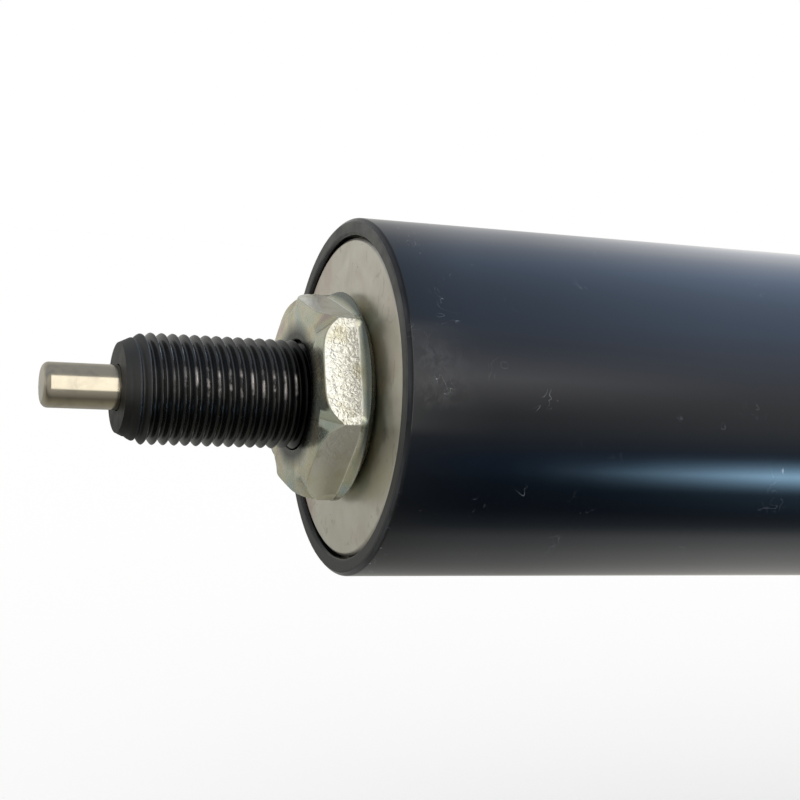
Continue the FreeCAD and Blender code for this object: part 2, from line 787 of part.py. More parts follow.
make_guide_tube()
make_end_disc()
make_lock_nut()
make_slide_bush()
make_piston_rod()
make_release_pin()
make_pressure_tube()
make_rod_guide()
make_rod_bush()
make_rod_wiper()
make_guide_seal()
make_rod_seal()
make_seal_washer()
make_snap_ring()
make_extension_stop()
make_piston()
make_piston_ring()
make_piston_seal()
make_valve_seals()
make_valve_sleeve()
make_piston_cap()
make_valve_stem()
make_end_plug()
make_plug_seal()
make_eye_nut()
make_rear_eye()
make_eye_bush()
document.recompute()

# Nothing is written unless every object is sound and every cut took something away
CUTS = ("PartDesign::Groove", "PartDesign::Pocket", "PartDesign::SubtractiveHelix")
for item in document.Objects:
    if "Invalid" in item.State or "Error" in item.State:
        raise RuntimeError(f"{item.Name} failed: {item.State}")
    if item.TypeId in CUTS and item.Shape.Volume > item.BaseFeature.Shape.Volume - SAME:
        raise RuntimeError(f"{item.Name} cuts nothing")

pieces = [item for item in document.Objects if item.TypeId == "PartDesign::Body"]
for piece in pieces:
    if piece.Shape.isNull() or not piece.Shape.isValid() or len(piece.Shape.Solids) != 1:
        raise RuntimeError(f"{piece.Label} isn't one sound solid")

os.makedirs("parts", exist_ok=True)
for piece in pieces:
    piece.Shape.exportStep(f"parts/{piece.Label}.step")
print(len(pieces), "pieces written")
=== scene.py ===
from math import cos, pi, radians, sin, sqrt, tan

import bmesh
import bpy
from mathutils import Matrix, Quaternion, Vector


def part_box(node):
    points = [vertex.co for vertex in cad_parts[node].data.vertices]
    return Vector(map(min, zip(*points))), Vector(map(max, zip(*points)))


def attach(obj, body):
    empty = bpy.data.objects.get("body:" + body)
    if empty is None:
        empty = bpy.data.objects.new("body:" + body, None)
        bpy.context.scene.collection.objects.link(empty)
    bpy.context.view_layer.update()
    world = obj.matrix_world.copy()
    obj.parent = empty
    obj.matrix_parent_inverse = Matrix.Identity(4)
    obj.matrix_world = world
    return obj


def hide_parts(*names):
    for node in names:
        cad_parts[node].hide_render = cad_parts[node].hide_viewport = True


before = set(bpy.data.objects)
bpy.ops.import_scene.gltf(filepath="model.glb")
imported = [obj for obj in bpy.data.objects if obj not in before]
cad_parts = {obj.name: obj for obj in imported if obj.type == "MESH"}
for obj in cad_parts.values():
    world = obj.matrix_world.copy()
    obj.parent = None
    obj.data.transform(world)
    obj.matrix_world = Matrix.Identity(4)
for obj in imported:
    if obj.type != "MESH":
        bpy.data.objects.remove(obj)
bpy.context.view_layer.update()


# Camera: close to the threaded end, to its left and a little above the axis, so that the tube's
# mouth shows. Lengths and places are in millimetres here and in all that follows.
MM = 0.001
AIM = (10.5, 0.0, -0.1)
AZIMUTH = -21.66
ELEVATION = 6.0
ROLL = 4.7
DISTANCE = 152.75
LENS = 73.37
SENSOR = 36.0
NEAR_CLIP = 1.0

azimuth = radians(AZIMUTH)
elevation = radians(ELEVATION)
back = Vector((
    sin(azimuth) * cos(elevation),
    -cos(azimuth) * cos(elevation),
    sin(elevation),
))
lens = bpy.data.cameras.new("camera")
lens.sensor_width = SENSOR
lens.lens = LENS
lens.clip_start = NEAR_CLIP * MM
camera = bpy.data.objects.new("camera", lens)
camera.rotation_mode = "QUATERNION"
camera.rotation_quaternion = back.to_track_quat("Z", "Y") @ Quaternion((0, 0, 1), radians(ROLL))
camera.location = (Vector(AIM) + back * DISTANCE) * MM
bpy.context.scene.collection.objects.link(camera)
bpy.context.scene.camera = camera
bpy.context.scene.view_settings.view_transform = "Standard"


# Floor and light: an even white room. What the gloss mirrors is bands of light round the X axis,
# with a white window in front, a lamp, and a narrow blue gap low on the far right. Angles are in
# degrees from the front upwards, and places to the right are shares from -1 to 1.
FLOOR_Z = -60.0
FLOOR_HALF = 4000.0
WHITE = (1.0, 1.0, 1.0, 1.0)
NEAR_BANDS = [
    (-180, (0.62, 0.61, 0.57)),
    (-166, (0.38, 0.38, 0.35)),
    (-130, (0.38, 0.38, 0.36)),
    (-90, (0.27, 0.26, 0.215)),
    (-60, (0.14, 0.135, 0.115)),
    (-20, (0.40, 0.40, 0.38)),
    (50, (0.50, 0.50, 0.48)),
    (70, (0.36, 0.38, 0.40)),
    (120, (0.36, 0.38, 0.40)),
    (180, (0.62, 0.61, 0.57)),
]
FAR_BANDS = [
    (-180, (0.62, 0.61, 0.58)),
    (-150, (0.34, 0.33, 0.31)),
    (-108, (0.52, 0.52, 0.51)),
    (-90, (0.45, 0.46, 0.46)),
    (-79, (0.13, 0.16, 0.18)),
    (-66, (0.03, 0.04, 0.06)),
    (-45, (0.02, 0.05, 0.09)),
    (-30, (0.06, 0.12, 0.24)),
    (-5, (0.38, 0.40, 0.42)),
    (12, (0.52, 0.52, 0.54)),
    (45, (0.66, 0.76, 0.98)),
    (62, (0.68, 0.88, 1.24)),
    (108, (0.75, 0.98, 1.38)),
    (140, (0.95, 1.00, 1.10)),
    (180, (0.62, 0.61, 0.58)),
]
NEAR_TO = 0.33
FAR_FROM = 0.40
FAR_GAIN_FROM = 0.43
FAR_GAIN_TO = 0.55
FAR_GAIN = 1.55
WINDOW_LOW = -10.0
WINDOW_HIGH = 52.0
WINDOW_SOFT = 6.0
WINDOW_LEFT = -0.12
WINDOW_LIGHT = (1.35, 1.30, 1.20, 1.0)
LAMP_ANGLE = 22.0
LAMP_WIDTH = 24.0
LAMP_FALL = 1.4
LAMP_LIGHT = (1.0, 0.97, 0.95, 1.0)
GAP_ANGLE = -37.0
GAP_WIDTH = 15.0
GAP_FALL = 2.0
GAP_FROM = 0.44
GAP_TO = 0.57
GAP_RISE = 2.0
GAP_LIGHT = (5.0, 8.4, 11.5, 1.0)
GLOW_ANGLE = -46.0
GLOW_WIDTH = 26.0
GLOW_FALL = 1.0
GLOW_SHARE = 0.045
DARK = (0.0, 0.0, 0.0, 1.0)


def feed(tree, socket, term):
    """Give an input socket another node's output, or a plain number or colour."""
    if isinstance(term, bpy.types.NodeSocket):
        tree.links.new(term, socket)
    else:
        socket.default_value = term


def math_node(tree, operation, *terms):
    """A sum, product or other function of outputs and numbers."""
    made = tree.nodes.new("ShaderNodeMath")
    made.operation = operation
    for socket, term in zip(made.inputs, terms):
        feed(tree, socket, term)
    return made.outputs["Value"]


def times(tree, product, *others):
    """The product of two or more outputs and numbers."""
    for other in others:
        product = math_node(tree, "MULTIPLY", product, other)
    return product


def less(tree, term, other):
    """One output or number less another."""
    return math_node(tree, "SUBTRACT", term, other)


def apart(tree, first, second):
    """How far apart two outputs or numbers are."""
    return math_node(tree, "ABSOLUTE", less(tree, first, second))


def split(tree, vector):
    """The three parts of a vector."""
    made = tree.nodes.new("ShaderNodeSeparateXYZ")
    tree.links.new(vector, made.inputs["Vector"])
    return made.outputs["X"], made.outputs["Y"], made.outputs["Z"]


def spread(tree, term, low, high, to_low=0.0, to_high=1.0):
    """Stretch the range from low to high over another one, and clamp it there."""
    made = tree.nodes.new("ShaderNodeMapRange")
    for socket, each in zip(made.inputs, (term, low, high, to_low, to_high)):
        feed(tree, socket, each)
    return made.outputs["Result"]


def mix_colours(tree, share, first, second, blend="MIX"):
    """From the first colour to the second one, or to both together, as the share goes to 1."""
    made = tree.nodes.new("ShaderNodeMix")
    made.data_type = "RGBA"
    made.blend_type = blend
    feed(tree, made.inputs[0], share)
    feed(tree, made.inputs[6], first)
    feed(tree, made.inputs[7], second)
    return made.outputs[2]


def ramp(tree, term, stops):
    """A colour ramp through places and colours."""
    made = tree.nodes.new("ShaderNodeValToRGB")
    points = made.color_ramp.elements
    while len(points) < len(stops):
        points.new(1.0)
    for point, (place, colour) in zip(points, stops):
        point.position = place
        point.color = (*colour[:3], 1.0)
    tree.links.new(term, made.inputs["Fac"])
    return made.outputs["Color"]


floor_mesh = bpy.data.meshes.new("floor")
floor_corners = [(-1, -1), (1, -1), (1, 1), (-1, 1)]
floor_mesh.from_pydata(
    [(x * FLOOR_HALF * MM, y * FLOOR_HALF * MM, FLOOR_Z * MM) for x, y in floor_corners],
    [],
    [(0, 1, 2, 3)],
)
floor = bpy.data.objects.new("floor", floor_mesh)
bpy.context.scene.collection.objects.link(floor)
floor.visible_glossy = False
floor_paint = bpy.data.materials.new("floor_paint")
floor_paint.use_nodes = True
floor_shader = floor_paint.node_tree.nodes["Principled BSDF"]
floor_shader.inputs["Base Color"].default_value = WHITE
floor_shader.inputs["Roughness"].default_value = 1.0
floor_shader.inputs["Specular IOR Level"].default_value = 0.0
floor_mesh.materials.append(floor_paint)

world = bpy.data.worlds.new("white_room")
bpy.context.scene.world = world
world.use_nodes = True
room = world.node_tree
direction = room.nodes.new("ShaderNodeTexCoord").outputs["Generated"]
to_right, to_back, to_top = split(room, direction)
round_axis = math_node(room, "ARCTAN2", to_top, times(room, to_back, -1.0))
round_share = spread(room, round_axis, -pi, pi)
near, far = (
    ramp(room, round_share, [((angle + 180) / 360, colour) for angle, colour in bands])
    for bands in (NEAR_BANDS, FAR_BANDS)
)
brighter = room.nodes.new("ShaderNodeVectorMath")
brighter.operation = "SCALE"
feed(room, brighter.inputs[0], far)
feed(room, brighter.inputs["Scale"], spread(room, to_right, FAR_GAIN_FROM, FAR_GAIN_TO, 1.0, FAR_GAIN))
is_far = spread(room, to_right, NEAR_TO, FAR_FROM)
mirrored = mix_colours(room, is_far, near, brighter.outputs[0])


def near_angle(angle, width, fall):
    """From 1 at an angle about the axis to 0 at this many degrees off it."""
    off = apart(room, round_axis, radians(angle))
    return math_node(room, "POWER", spread(room, off, radians(width), 0.0), fall)


def with_light(behind, share, light):
    """What is mirrored, with a share of one more light added."""
    return mix_colours(room, 1.0, behind, mix_colours(room, share, DARK, light), "ADD")


in_window = times(
    room,
    spread(room, round_axis, radians(WINDOW_LOW - WINDOW_SOFT), radians(WINDOW_LOW)),
    spread(room, round_axis, radians(WINDOW_HIGH + WINDOW_SOFT), radians(WINDOW_HIGH)),
    less(room, 1.0, is_far),
    spread(room, to_right, WINDOW_LEFT, 0.0),
)
at_lamp = times(
    room,
    near_angle(LAMP_ANGLE, LAMP_WIDTH, LAMP_FALL),
    is_far,
    spread(room, to_right, FAR_GAIN_TO, FAR_GAIN_FROM),
)
glow = times(room, near_angle(GLOW_ANGLE, GLOW_WIDTH, GLOW_FALL), GLOW_SHARE)
in_gap = times(
    room,
    math_node(room, "ADD", near_angle(GAP_ANGLE, GAP_WIDTH, GAP_FALL), glow),
    math_node(room, "POWER", spread(room, to_right, GAP_FROM, GAP_TO), GAP_RISE),
)
mirrored = with_light(mirrored, in_window, WINDOW_LIGHT)
mirrored = with_light(mirrored, at_lamp, LAMP_LIGHT)
mirrored = with_light(mirrored, in_gap, GAP_LIGHT)
glossy = room.nodes.new("ShaderNodeLightPath").outputs["Is Glossy Ray"]
feed(room, room.nodes["Background"].inputs["Color"], mix_colours(room, glossy, WHITE, mirrored))


# Piston rod: hollow ground steel, blackened, its front end chamfered and cut with a long thread,
# its back end turned down to a tenon that carries the piston. The thread is one unbroken helix.
rod_low, rod_high = (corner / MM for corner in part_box("piston_rod"))
ROD_RADIUS = rod_high.y
ROD_LEAD_LENGTH = 2.1
ROD_LEAD_DROP = 1.0
ROD_FRONT_BORE = 2.08
ROD_FRONT_BORE_DEPTH = 8.9
ROD_BORE = 1.7
ROD_TENON_RADIUS = 4.0
ROD_TENON_LENGTH = 5.0
ROD_EDGE = 0.12
ROD_STEPS = 120
THREAD_PITCH = 1.0
THREAD_ROOT = 4.387
THREAD_ROOT_FLAT = 0.167
THREAD_FLANK_ANGLE = 30.0
THREAD_BACK = 15.0
THREAD_RUN_OUT = 0.5
THREAD_CREST_ROUND = 0.45
THREAD_ROOT_ROUND = 0.12
THREAD_ROWS_A_PITCH = 16
FULL_TURN = 2 * pi
SHARP_FROM = radians(50)

# CLOUDS are a noise's clouds to the millimetre, its fineness and its swirl. LEVELS are where in it
# a mark begins and where it is full, and pairs of places, radii or degrees run the same way. GLOSS
# is the roughness of the smoothest spots and of the dullest.
ROD_BLACK = (0.003, 0.003, 0.0034, 1.0)
ROD_GREASE = (0.006, 0.0056, 0.005, 1.0)
ROD_BARE_GLINT = (0.80, 0.74, 0.70, 1.0)
ROD_SHINE = 0.95
ROD_GLOSS_CLOUDS = (0.8, 3.0)
ROD_GLOSS = (0.17, 0.30)
ROD_DRAWING = (6.0, 1.0, 1.0)
ROD_DRAWING_DEPTH = 0.006
DRAWN_FINE = 3.0
LEAD_MATTE = (-13.9, -14.3)
LEAD_ROUGHER = 0.3
WORN_GLINT_RADIUS = 4.80
GLINT_ANGLE = 16.0
GLINT_WIDTH = 16.0
WORN_GLINT_CLOUDS = (0.9, 4.0)
WORN_GLINT_LEVELS = (0.42, 0.60)
WORN_GLINT_BEHIND_LEAD = (-12.6, -10.1)
GLINT_BEFORE_NUT = (-0.6, -1.6)
GREASE_CLOUDS = (0.35, 4.0)
GREASE_LEVELS = (0.40, 0.65)
SHADE_DOWN = (8.0, -15.0)
SHADE_BELOW = 0.5
SHADE_AT_NUT = (-2.6, -0.6)
SHADE_BY_NUT = 0.85
GLOSS_LEVELS = (0.3, 0.7)


def turned(name, profile, steps, axis="X"):
    """A piece turned about an axis: the profile holds places along it and radii, in millimetres."""
    shape = bmesh.new()
    rings = []
    for along, radius in profile:
        count = steps if radius > 0 else 1
        ring = []
        for step in range(count):
            angle = FULL_TURN * step / steps
            across, up = radius * cos(angle), radius * sin(angle)
            place = (along, across, up) if axis == "X" else (up, along, across)
            ring.append(shape.verts.new(Vector(place) * MM))
        rings.append(ring)
    solid_core = len(rings[0]) == 1
    pairs = list(zip(rings, rings[1:]))
    if not solid_core:
        pairs.append((rings[-1], rings[0]))
    for first, second in pairs:
        for step in range(steps):
            after = (step + 1) % steps
            if len(first) == 1:
                shape.faces.new((first[0], second[step], second[after]))
            elif len(second) == 1:
                shape.faces.new((first[step], second[0], first[after]))
            else:
                shape.faces.new((first[step], second[step], second[after], first[after]))
    bmesh.ops.recalc_face_normals(shape, faces=shape.faces)
    for face in shape.faces:
        face.smooth = True
    mesh = bpy.data.meshes.new(name)
    shape.to_mesh(mesh)
    shape.free()
    piece = bpy.data.objects.new(name, mesh)
    bpy.context.scene.collection.objects.link(piece)
    return piece


def settle(piece):
    """Apply a piece's modifiers, so that it is a plain mesh."""
    depsgraph = bpy.context.evaluated_depsgraph_get()
    mesh = bpy.data.meshes.new_from_object(piece.evaluated_get(depsgraph))
    piece.modifiers.clear()
    piece.data = mesh
    return piece


def new_tree(name, sizes):
    """An empty node tree for shapes, with one named input for each size."""
    tree = bpy.data.node_groups.new(name, "GeometryNodeTree")
    tree.interface.new_socket("Geometry", in_out="INPUT", socket_type="NodeSocketGeometry")
    tree.interface.new_socket("Geometry", in_out="OUTPUT", socket_type="NodeSocketGeometry")
    for size in sizes:
        tree.interface.new_socket(size, in_out="INPUT", socket_type="NodeSocketFloat")
    tree.interface.new_socket("Material", in_out="INPUT", socket_type="NodeSocketMaterial")
    return tree, tree.nodes.new("NodeGroupInput").outputs, tree.nodes.new("NodeGroupOutput").inputs


def chain(tree, kind, geometry, **terms):
    """Pass a shape through one more node, with these inputs by name."""
    made = tree.nodes.new(kind)
    tree.links.new(geometry, made.inputs[0])
    for name, term in terms.items():
        feed(tree, made.inputs[name.title()], term)
    return made.outputs[0]


def close_tree(tree, geometry, given, result):
    """End a tree with real geometry and its material."""
    real = chain(tree, "GeometryNodeRealizeInstances", geometry)
    tree.links.new(chain(tree, "GeometryNodeSetMaterial", real, material=given["Material"]), result[0])


def run_tree(piece, tree, values):
    """Shape a piece with a node tree, its inputs set by their identifiers."""
    modifier = piece.modifiers.new(tree.name, "NODES")
    modifier.node_group = tree
    for item in tree.interface.items_tree:
        if item.in_out == "INPUT" and item.name in values:
            modifier[item.identifier] = values[item.name]
    return settle(piece)


def vector_of(tree, x, y, z):
    """A vector from three parts."""
    made = tree.nodes.new("ShaderNodeCombineXYZ")
    for socket, term in zip(made.inputs, (x, y, z)):
        feed(tree, socket, term)
    return made.outputs["Vector"]


def about_x(tree, along, radius, angle):
    """The point at this place along the X axis, radius and angle."""
    across = times(tree, radius, math_node(tree, "COSINE", angle))
    up = times(tree, radius, math_node(tree, "SINE", angle))
    return vector_of(tree, along, across, up)


def round_x(tree, vector):
    """Place along the X axis, radius and angle of a point."""
    along, across, up = split(tree, vector)
    squares = math_node(tree, "MULTIPLY_ADD", across, across, times(tree, up, up))
    return along, math_node(tree, "SQRT", squares), math_node(tree, "ARCTAN2", up, across)


def angle_from_front(tree, vector):
    """A point's angle about the X axis, from the front upwards."""
    across, up = split(tree, vector)[1:]
    return math_node(tree, "ARCTAN2", up, times(tree, across, -1.0))


def new_finish(name, colour, metallic):
    """A material, its node tree, its shader's inputs, and the piece's own places in millimetres."""
    made = bpy.data.materials.new(name)
    made.use_nodes = True
    tree = made.node_tree
    shader = tree.nodes["Principled BSDF"].inputs
    shader["Base Color"].default_value = colour
    shader["Metallic"].default_value = metallic
    in_mm = tree.nodes.new("ShaderNodeMapping")
    in_mm.inputs["Scale"].default_value = (1 / MM, 1 / MM, 1 / MM)
    tree.links.new(tree.nodes.new("ShaderNodeTexCoord").outputs["Object"], in_mm.inputs["Vector"])
    return made, tree, shader, in_mm.outputs["Vector"]


def noise(tree, vector, scale, detail, distortion=0.0):
    """Cloudy noise from 0 to 1, with this many clouds to the millimetre."""
    made = tree.nodes.new("ShaderNodeTexNoise")
    tree.links.new(vector, made.inputs["Vector"])
    made.inputs["Scale"].default_value = scale
    made.inputs["Detail"].default_value = detail
    made.inputs["Distortion"].default_value = distortion
    return made.outputs["Fac"]


def patches(tree, vector, clouds, levels, shares=(0.0, 1.0)):
    """Noise as patches, from the first share to the second one."""
    return spread(tree, noise(tree, vector, *clouds), *levels, *shares)


def tool_marks(tree, vector, stretch, detail):
    """Noise stretched along X, the radius and the angle, as a tool leaves it."""
    parts = [times(tree, part, marks) for part, marks in zip(round_x(tree, vector), stretch)]
    return noise(tree, vector_of(tree, *parts), 1.0, detail)


def bump(tree, height, depth, under=None):
    """A raised or sunk surface from a height of 0 to 1, this deep in millimetres."""
    made = tree.nodes.new("ShaderNodeBump")
    made.inputs["Distance"].default_value = depth * MM
    tree.links.new(height, made.inputs["Height"])
    if under is not None:
        tree.links.new(under, made.inputs["Normal"])
    return made.outputs["Normal"]


black_steel, tree, shader, spot = new_finish("black_steel", ROD_BLACK, 0.0)
along, radius = round_x(tree, spot)[:2]
from_front = angle_from_front(tree, spot)
# Bare crests with a painted highlight: the bare metal on the crests is kept to the band of angles that
# mirrors the window, and it fades out in the nut's shade.
off_glint = apart(tree, from_front, radians(GLINT_ANGLE))
worn_glint = times(
    tree,
    spread(tree, radius, WORN_GLINT_RADIUS, ROD_RADIUS),
    spread(tree, off_glint, radians(GLINT_WIDTH), radians(GLINT_WIDTH / 2)),
    patches(tree, spot, WORN_GLINT_CLOUDS, WORN_GLINT_LEVELS),
    spread(tree, along, *WORN_GLINT_BEHIND_LEAD),
    spread(tree, along, *GLINT_BEFORE_NUT),
)
# Painted shade: the thread is made darker and duller on its underside and on the turns next to the nut.
painted_shade = math_node(
    tree, "MAXIMUM",
    spread(tree, from_front, *map(radians, SHADE_DOWN), 0.0, SHADE_BELOW),
    spread(tree, along, *SHADE_AT_NUT, 0.0, SHADE_BY_NUT),
)
blackened = mix_colours(tree, patches(tree, spot, GREASE_CLOUDS, GREASE_LEVELS), ROD_BLACK, ROD_GREASE)
feed(tree, shader["Base Color"], mix_colours(tree, worn_glint, blackened, ROD_BARE_GLINT))
feed(tree, shader["Metallic"], math_node(tree, "MAXIMUM", worn_glint, painted_shade))
shader["Specular IOR Level"].default_value = ROD_SHINE
matte_lead = spread(tree, along, *LEAD_MATTE, 0.0, LEAD_ROUGHER)
rod_gloss = patches(tree, spot, ROD_GLOSS_CLOUDS, GLOSS_LEVELS, ROD_GLOSS)
feed(tree, shader["Roughness"], math_node(tree, "ADD", matte_lead, rod_gloss))
drawing = tool_marks(tree, spot, ROD_DRAWING, DRAWN_FINE)
feed(tree, shader["Normal"], bump(tree, drawing, ROD_DRAWING_DEPTH))

thread_tree, given, result = new_tree("cut_thread", [
    "Root Radius", "Pitch", "Root Flat", "Groove At", "Thread Back", "Run Out", "Crest Round", "Root Round",
])
position = thread_tree.nodes.new("GeometryNodeInputPosition").outputs["Position"]
along, radius, angle = round_x(thread_tree, position)
past_groove = less(thread_tree, along, given["Groove At"])
turns = math_node(thread_tree, "DIVIDE", past_groove, given["Pitch"])
phase = less(thread_tree, turns, math_node(thread_tree, "DIVIDE", angle, FULL_TURN))
phase = math_node(thread_tree, "FRACT", math_node(thread_tree, "ADD", phase, 0.5))
off_groove = times(thread_tree, apart(thread_tree, phase, 0.5), given["Pitch"])
half_flat = math_node(thread_tree, "DIVIDE", given["Root Flat"], 2.0)
off_flat = less(thread_tree, off_groove, half_flat)
flank = math_node(thread_tree, "DIVIDE", off_flat, tan(radians(THREAD_FLANK_ANGLE)))
flank = math_node(thread_tree, "SMOOTH_MAX", flank, 0.0, given["Root Round"])
past_thread = less(thread_tree, along, given["Thread Back"])
past_thread = math_node(thread_tree, "MAXIMUM", past_thread, 0.0)
cut = math_node(thread_tree, "ADD", given["Root Radius"], flank)
cut = math_node(thread_tree, "ADD", cut, times(thread_tree, past_thread, given["Run Out"]))
left = math_node(thread_tree, "SMOOTH_MIN", radius, cut, given["Crest Round"])
left = math_node(thread_tree, "MINIMUM", left, radius)
threaded = chain(
    thread_tree, "GeometryNodeSetPosition", given["Geometry"],
    position=about_x(thread_tree, along, left, angle),
)
close_tree(thread_tree, threaded, given, result)

rod_front, rod_back = rod_low.x, rod_high.x
rod_shoulder = rod_back - ROD_TENON_LENGTH
thread_rows = round((THREAD_BACK + THREAD_PITCH - rod_front - ROD_LEAD_LENGTH) * THREAD_ROWS_A_PITCH)
rod_profile = [(rod_front, ROD_FRONT_BORE), (rod_front, ROD_RADIUS - ROD_LEAD_DROP)]
lead_rows = round(ROD_LEAD_LENGTH * THREAD_ROWS_A_PITCH)
for row in range(1, lead_rows):
    share = row / lead_rows
    rod_profile.append((
        rod_front + ROD_LEAD_LENGTH * share,
        ROD_RADIUS - ROD_LEAD_DROP * (1 - share),
    ))
for row in range(thread_rows + 1):
    rod_profile.append((rod_front + ROD_LEAD_LENGTH + row / THREAD_ROWS_A_PITCH, ROD_RADIUS))
rod_profile += [
    (rod_shoulder - ROD_EDGE, ROD_RADIUS), (rod_shoulder, ROD_RADIUS - ROD_EDGE),
    (rod_shoulder, ROD_TENON_RADIUS), (rod_back - ROD_EDGE, ROD_TENON_RADIUS),
    (rod_back, ROD_TENON_RADIUS - ROD_EDGE), (rod_back, ROD_BORE),
    (rod_front + ROD_FRONT_BORE_DEPTH, ROD_BORE), (rod_front + ROD_FRONT_BORE_DEPTH, ROD_FRONT_BORE),
]
rod = turned("threaded_rod", rod_profile, ROD_STEPS)
run_tree(rod, thread_tree, {
    "Root Radius": THREAD_ROOT * MM,
    "Pitch": THREAD_PITCH * MM,
    "Root Flat": THREAD_ROOT_FLAT * MM,
    "Groove At": (rod_front - THREAD_PITCH) * MM,
    "Thread Back": THREAD_BACK * MM,
    "Run Out": THREAD_RUN_OUT,
    "Crest Round": THREAD_CREST_ROUND * MM,
    "Root Round": THREAD_ROOT_ROUND * MM,
    "Material": black_steel,
})
rod.data.set_sharp_from_angle(angle=SHARP_FROM)
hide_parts("piston_rod")
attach(rod, "rod_and_guide")


# Release pin: ground steel, loose in the rod's bore, its head's tip rounded. It is pushed in to
# open the valve, and gas pressure pushes it back out.
pin_low, pin_high = (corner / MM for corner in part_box("release_pin"))
PIN_RADIUS = pin_high.y
PIN_HEAD_LENGTH = 12.0
PIN_SHANK_RADIUS = 1.5
PIN_TIP_ROUND = 0.6
PIN_TIP_STEPS = 6
PIN_STEPS = 96
PIN_STEEL = (0.58, 0.53, 0.43, 1.0)
PIN_DULL = (0.46, 0.42, 0.35, 1.0)
PIN_STAIN_CLOUDS = (0.7, 5.0, 0.6)
PIN_STAIN_LEVELS = (0.45, 0.75)
PIN_GLOSS_CLOUDS = (1.5, 4.0)
PIN_GLOSS = (0.09, 0.17)
PIN_GRINDING = (14.0, 14.0, 1.2)
PIN_GRINDING_DEPTH = 0.004


def rounded(along, radius, round_radius, steps, towards=1):
    """Profile points of an outer corner's arc, from a flat front face on to a cylinder."""
    points = []
    for step in range(steps + 1):
        turn = pi / 2 * step / steps
        points.append((
            along + towards * round_radius * (1 - sin(turn)),
            radius - round_radius * (1 - cos(turn)),
        ))
    return points[::-1] if towards > 0 else points


ground_steel, tree, shader, spot = new_finish("ground_steel", PIN_STEEL, 1.0)
stain = patches(tree, spot, PIN_STAIN_CLOUDS, PIN_STAIN_LEVELS)
feed(tree, shader["Base Color"], mix_colours(tree, stain, PIN_STEEL, PIN_DULL))
feed(tree, shader["Roughness"], patches(tree, spot, PIN_GLOSS_CLOUDS, GLOSS_LEVELS, PIN_GLOSS))
grinding = tool_marks(tree, spot, PIN_GRINDING, DRAWN_FINE)
feed(tree, shader["Normal"], bump(tree, grinding, PIN_GRINDING_DEPTH))

pin = turned("ground_pin", [
    (pin_low.x, 0.0),
    *rounded(pin_low.x, PIN_RADIUS, PIN_TIP_ROUND, PIN_TIP_STEPS),
    (pin_low.x + PIN_HEAD_LENGTH, PIN_RADIUS),
    (pin_low.x + PIN_HEAD_LENGTH, PIN_SHANK_RADIUS),
    (pin_high.x, PIN_SHANK_RADIUS),
    (pin_high.x, 0.0),
], PIN_STEPS)
pin.data.materials.append(ground_steel)
pin.data.set_sharp_from_angle(angle=SHARP_FROM)
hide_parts("release_pin")
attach(pin, "release")


# Piston and valve: an aluminium piston crimped on the rod's tenon, a steel stem through it
# between two rubber rings, a bronze spacer, and a pressed steel cap.
ALUMINIUM = (0.75, 0.75, 0.76, 1.0)
ALUMINIUM_GLOSS_CLOUDS = (0.6, 3.0)
ALUMINIUM_GLOSS = (0.28, 0.45)
ALUMINIUM_TURNING = (9.0, 9.0, 0.0)
ALUMINIUM_TURNING_DEPTH = 0.010
TURNED_FINE = 2.0
BRONZE = (0.50, 0.32, 0.14, 1.0)
BRONZE_DARK = (0.28, 0.17, 0.07, 1.0)
BRONZE_PORE_CLOUDS = (7.0, 3.0)
BRONZE_PORE_LEVELS = (0.55, 0.70)
BRONZE_PORE_DEPTH = 0.012
BRONZE_GLOSS_CLOUDS = (2.0, 3.0)
BRONZE_GLOSS = (0.32, 0.50)
RUBBER = (0.018, 0.018, 0.019, 1.0)
RUBBER_GLOSS_CLOUDS = (1.2, 3.0)
RUBBER_GLOSS = (0.50, 0.75)
RUBBER_GRAIN_CLOUDS = (9.0, 3.0)
RUBBER_GRAIN_DEPTH = 0.008
NYLON = (0.028, 0.028, 0.030, 1.0)
NYLON_GLOSS_CLOUDS = (0.5, 4.0)
NYLON_GLOSS = (0.36, 0.55)
NYLON_GRAIN_CLOUDS = (6.0, 2.0)
NYLON_GRAIN_DEPTH = 0.010


def grained(name, colour, gloss_clouds, gloss, grain_clouds, grain_depth):
    """A moulded or sprayed finish: patchy gloss over a fine grain."""
    made, tree, shader, spot = new_finish(name, colour, 0.0)
    feed(tree, shader["Roughness"], patches(tree, spot, gloss_clouds, GLOSS_LEVELS, gloss))
    feed(tree, shader["Normal"], bump(tree, noise(tree, spot, *grain_clouds), grain_depth))
    return made, tree, shader, spot


def paint(material, *names):
    """Give CAD nodes this finish."""
    for name in names:
        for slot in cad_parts[name].material_slots:
            slot.material = material


turned_aluminium, tree, shader, spot = new_finish("turned_aluminium", ALUMINIUM, 1.0)
turning = tool_marks(tree, spot, ALUMINIUM_TURNING, TURNED_FINE)
feed(tree, shader["Roughness"], patches(tree, spot, ALUMINIUM_GLOSS_CLOUDS, GLOSS_LEVELS, ALUMINIUM_GLOSS))
feed(tree, shader["Normal"], bump(tree, turning, ALUMINIUM_TURNING_DEPTH))

sintered_bronze, tree, shader, spot = new_finish("sintered_bronze", BRONZE, 1.0)
pores = patches(tree, spot, BRONZE_PORE_CLOUDS, BRONZE_PORE_LEVELS)
feed(tree, shader["Base Color"], mix_colours(tree, pores, BRONZE, BRONZE_DARK))
feed(tree, shader["Roughness"], patches(tree, spot, BRONZE_GLOSS_CLOUDS, GLOSS_LEVELS, BRONZE_GLOSS))
feed(tree, shader["Normal"], bump(tree, less(tree, 1.0, pores), BRONZE_PORE_DEPTH))

black_rubber = grained(
    "black_rubber", RUBBER, RUBBER_GLOSS_CLOUDS, RUBBER_GLOSS, RUBBER_GRAIN_CLOUDS, RUBBER_GRAIN_DEPTH,
)[0]
black_nylon = grained(
    "black_nylon", NYLON, NYLON_GLOSS_CLOUDS, NYLON_GLOSS, NYLON_GRAIN_CLOUDS, NYLON_GRAIN_DEPTH,
)[0]

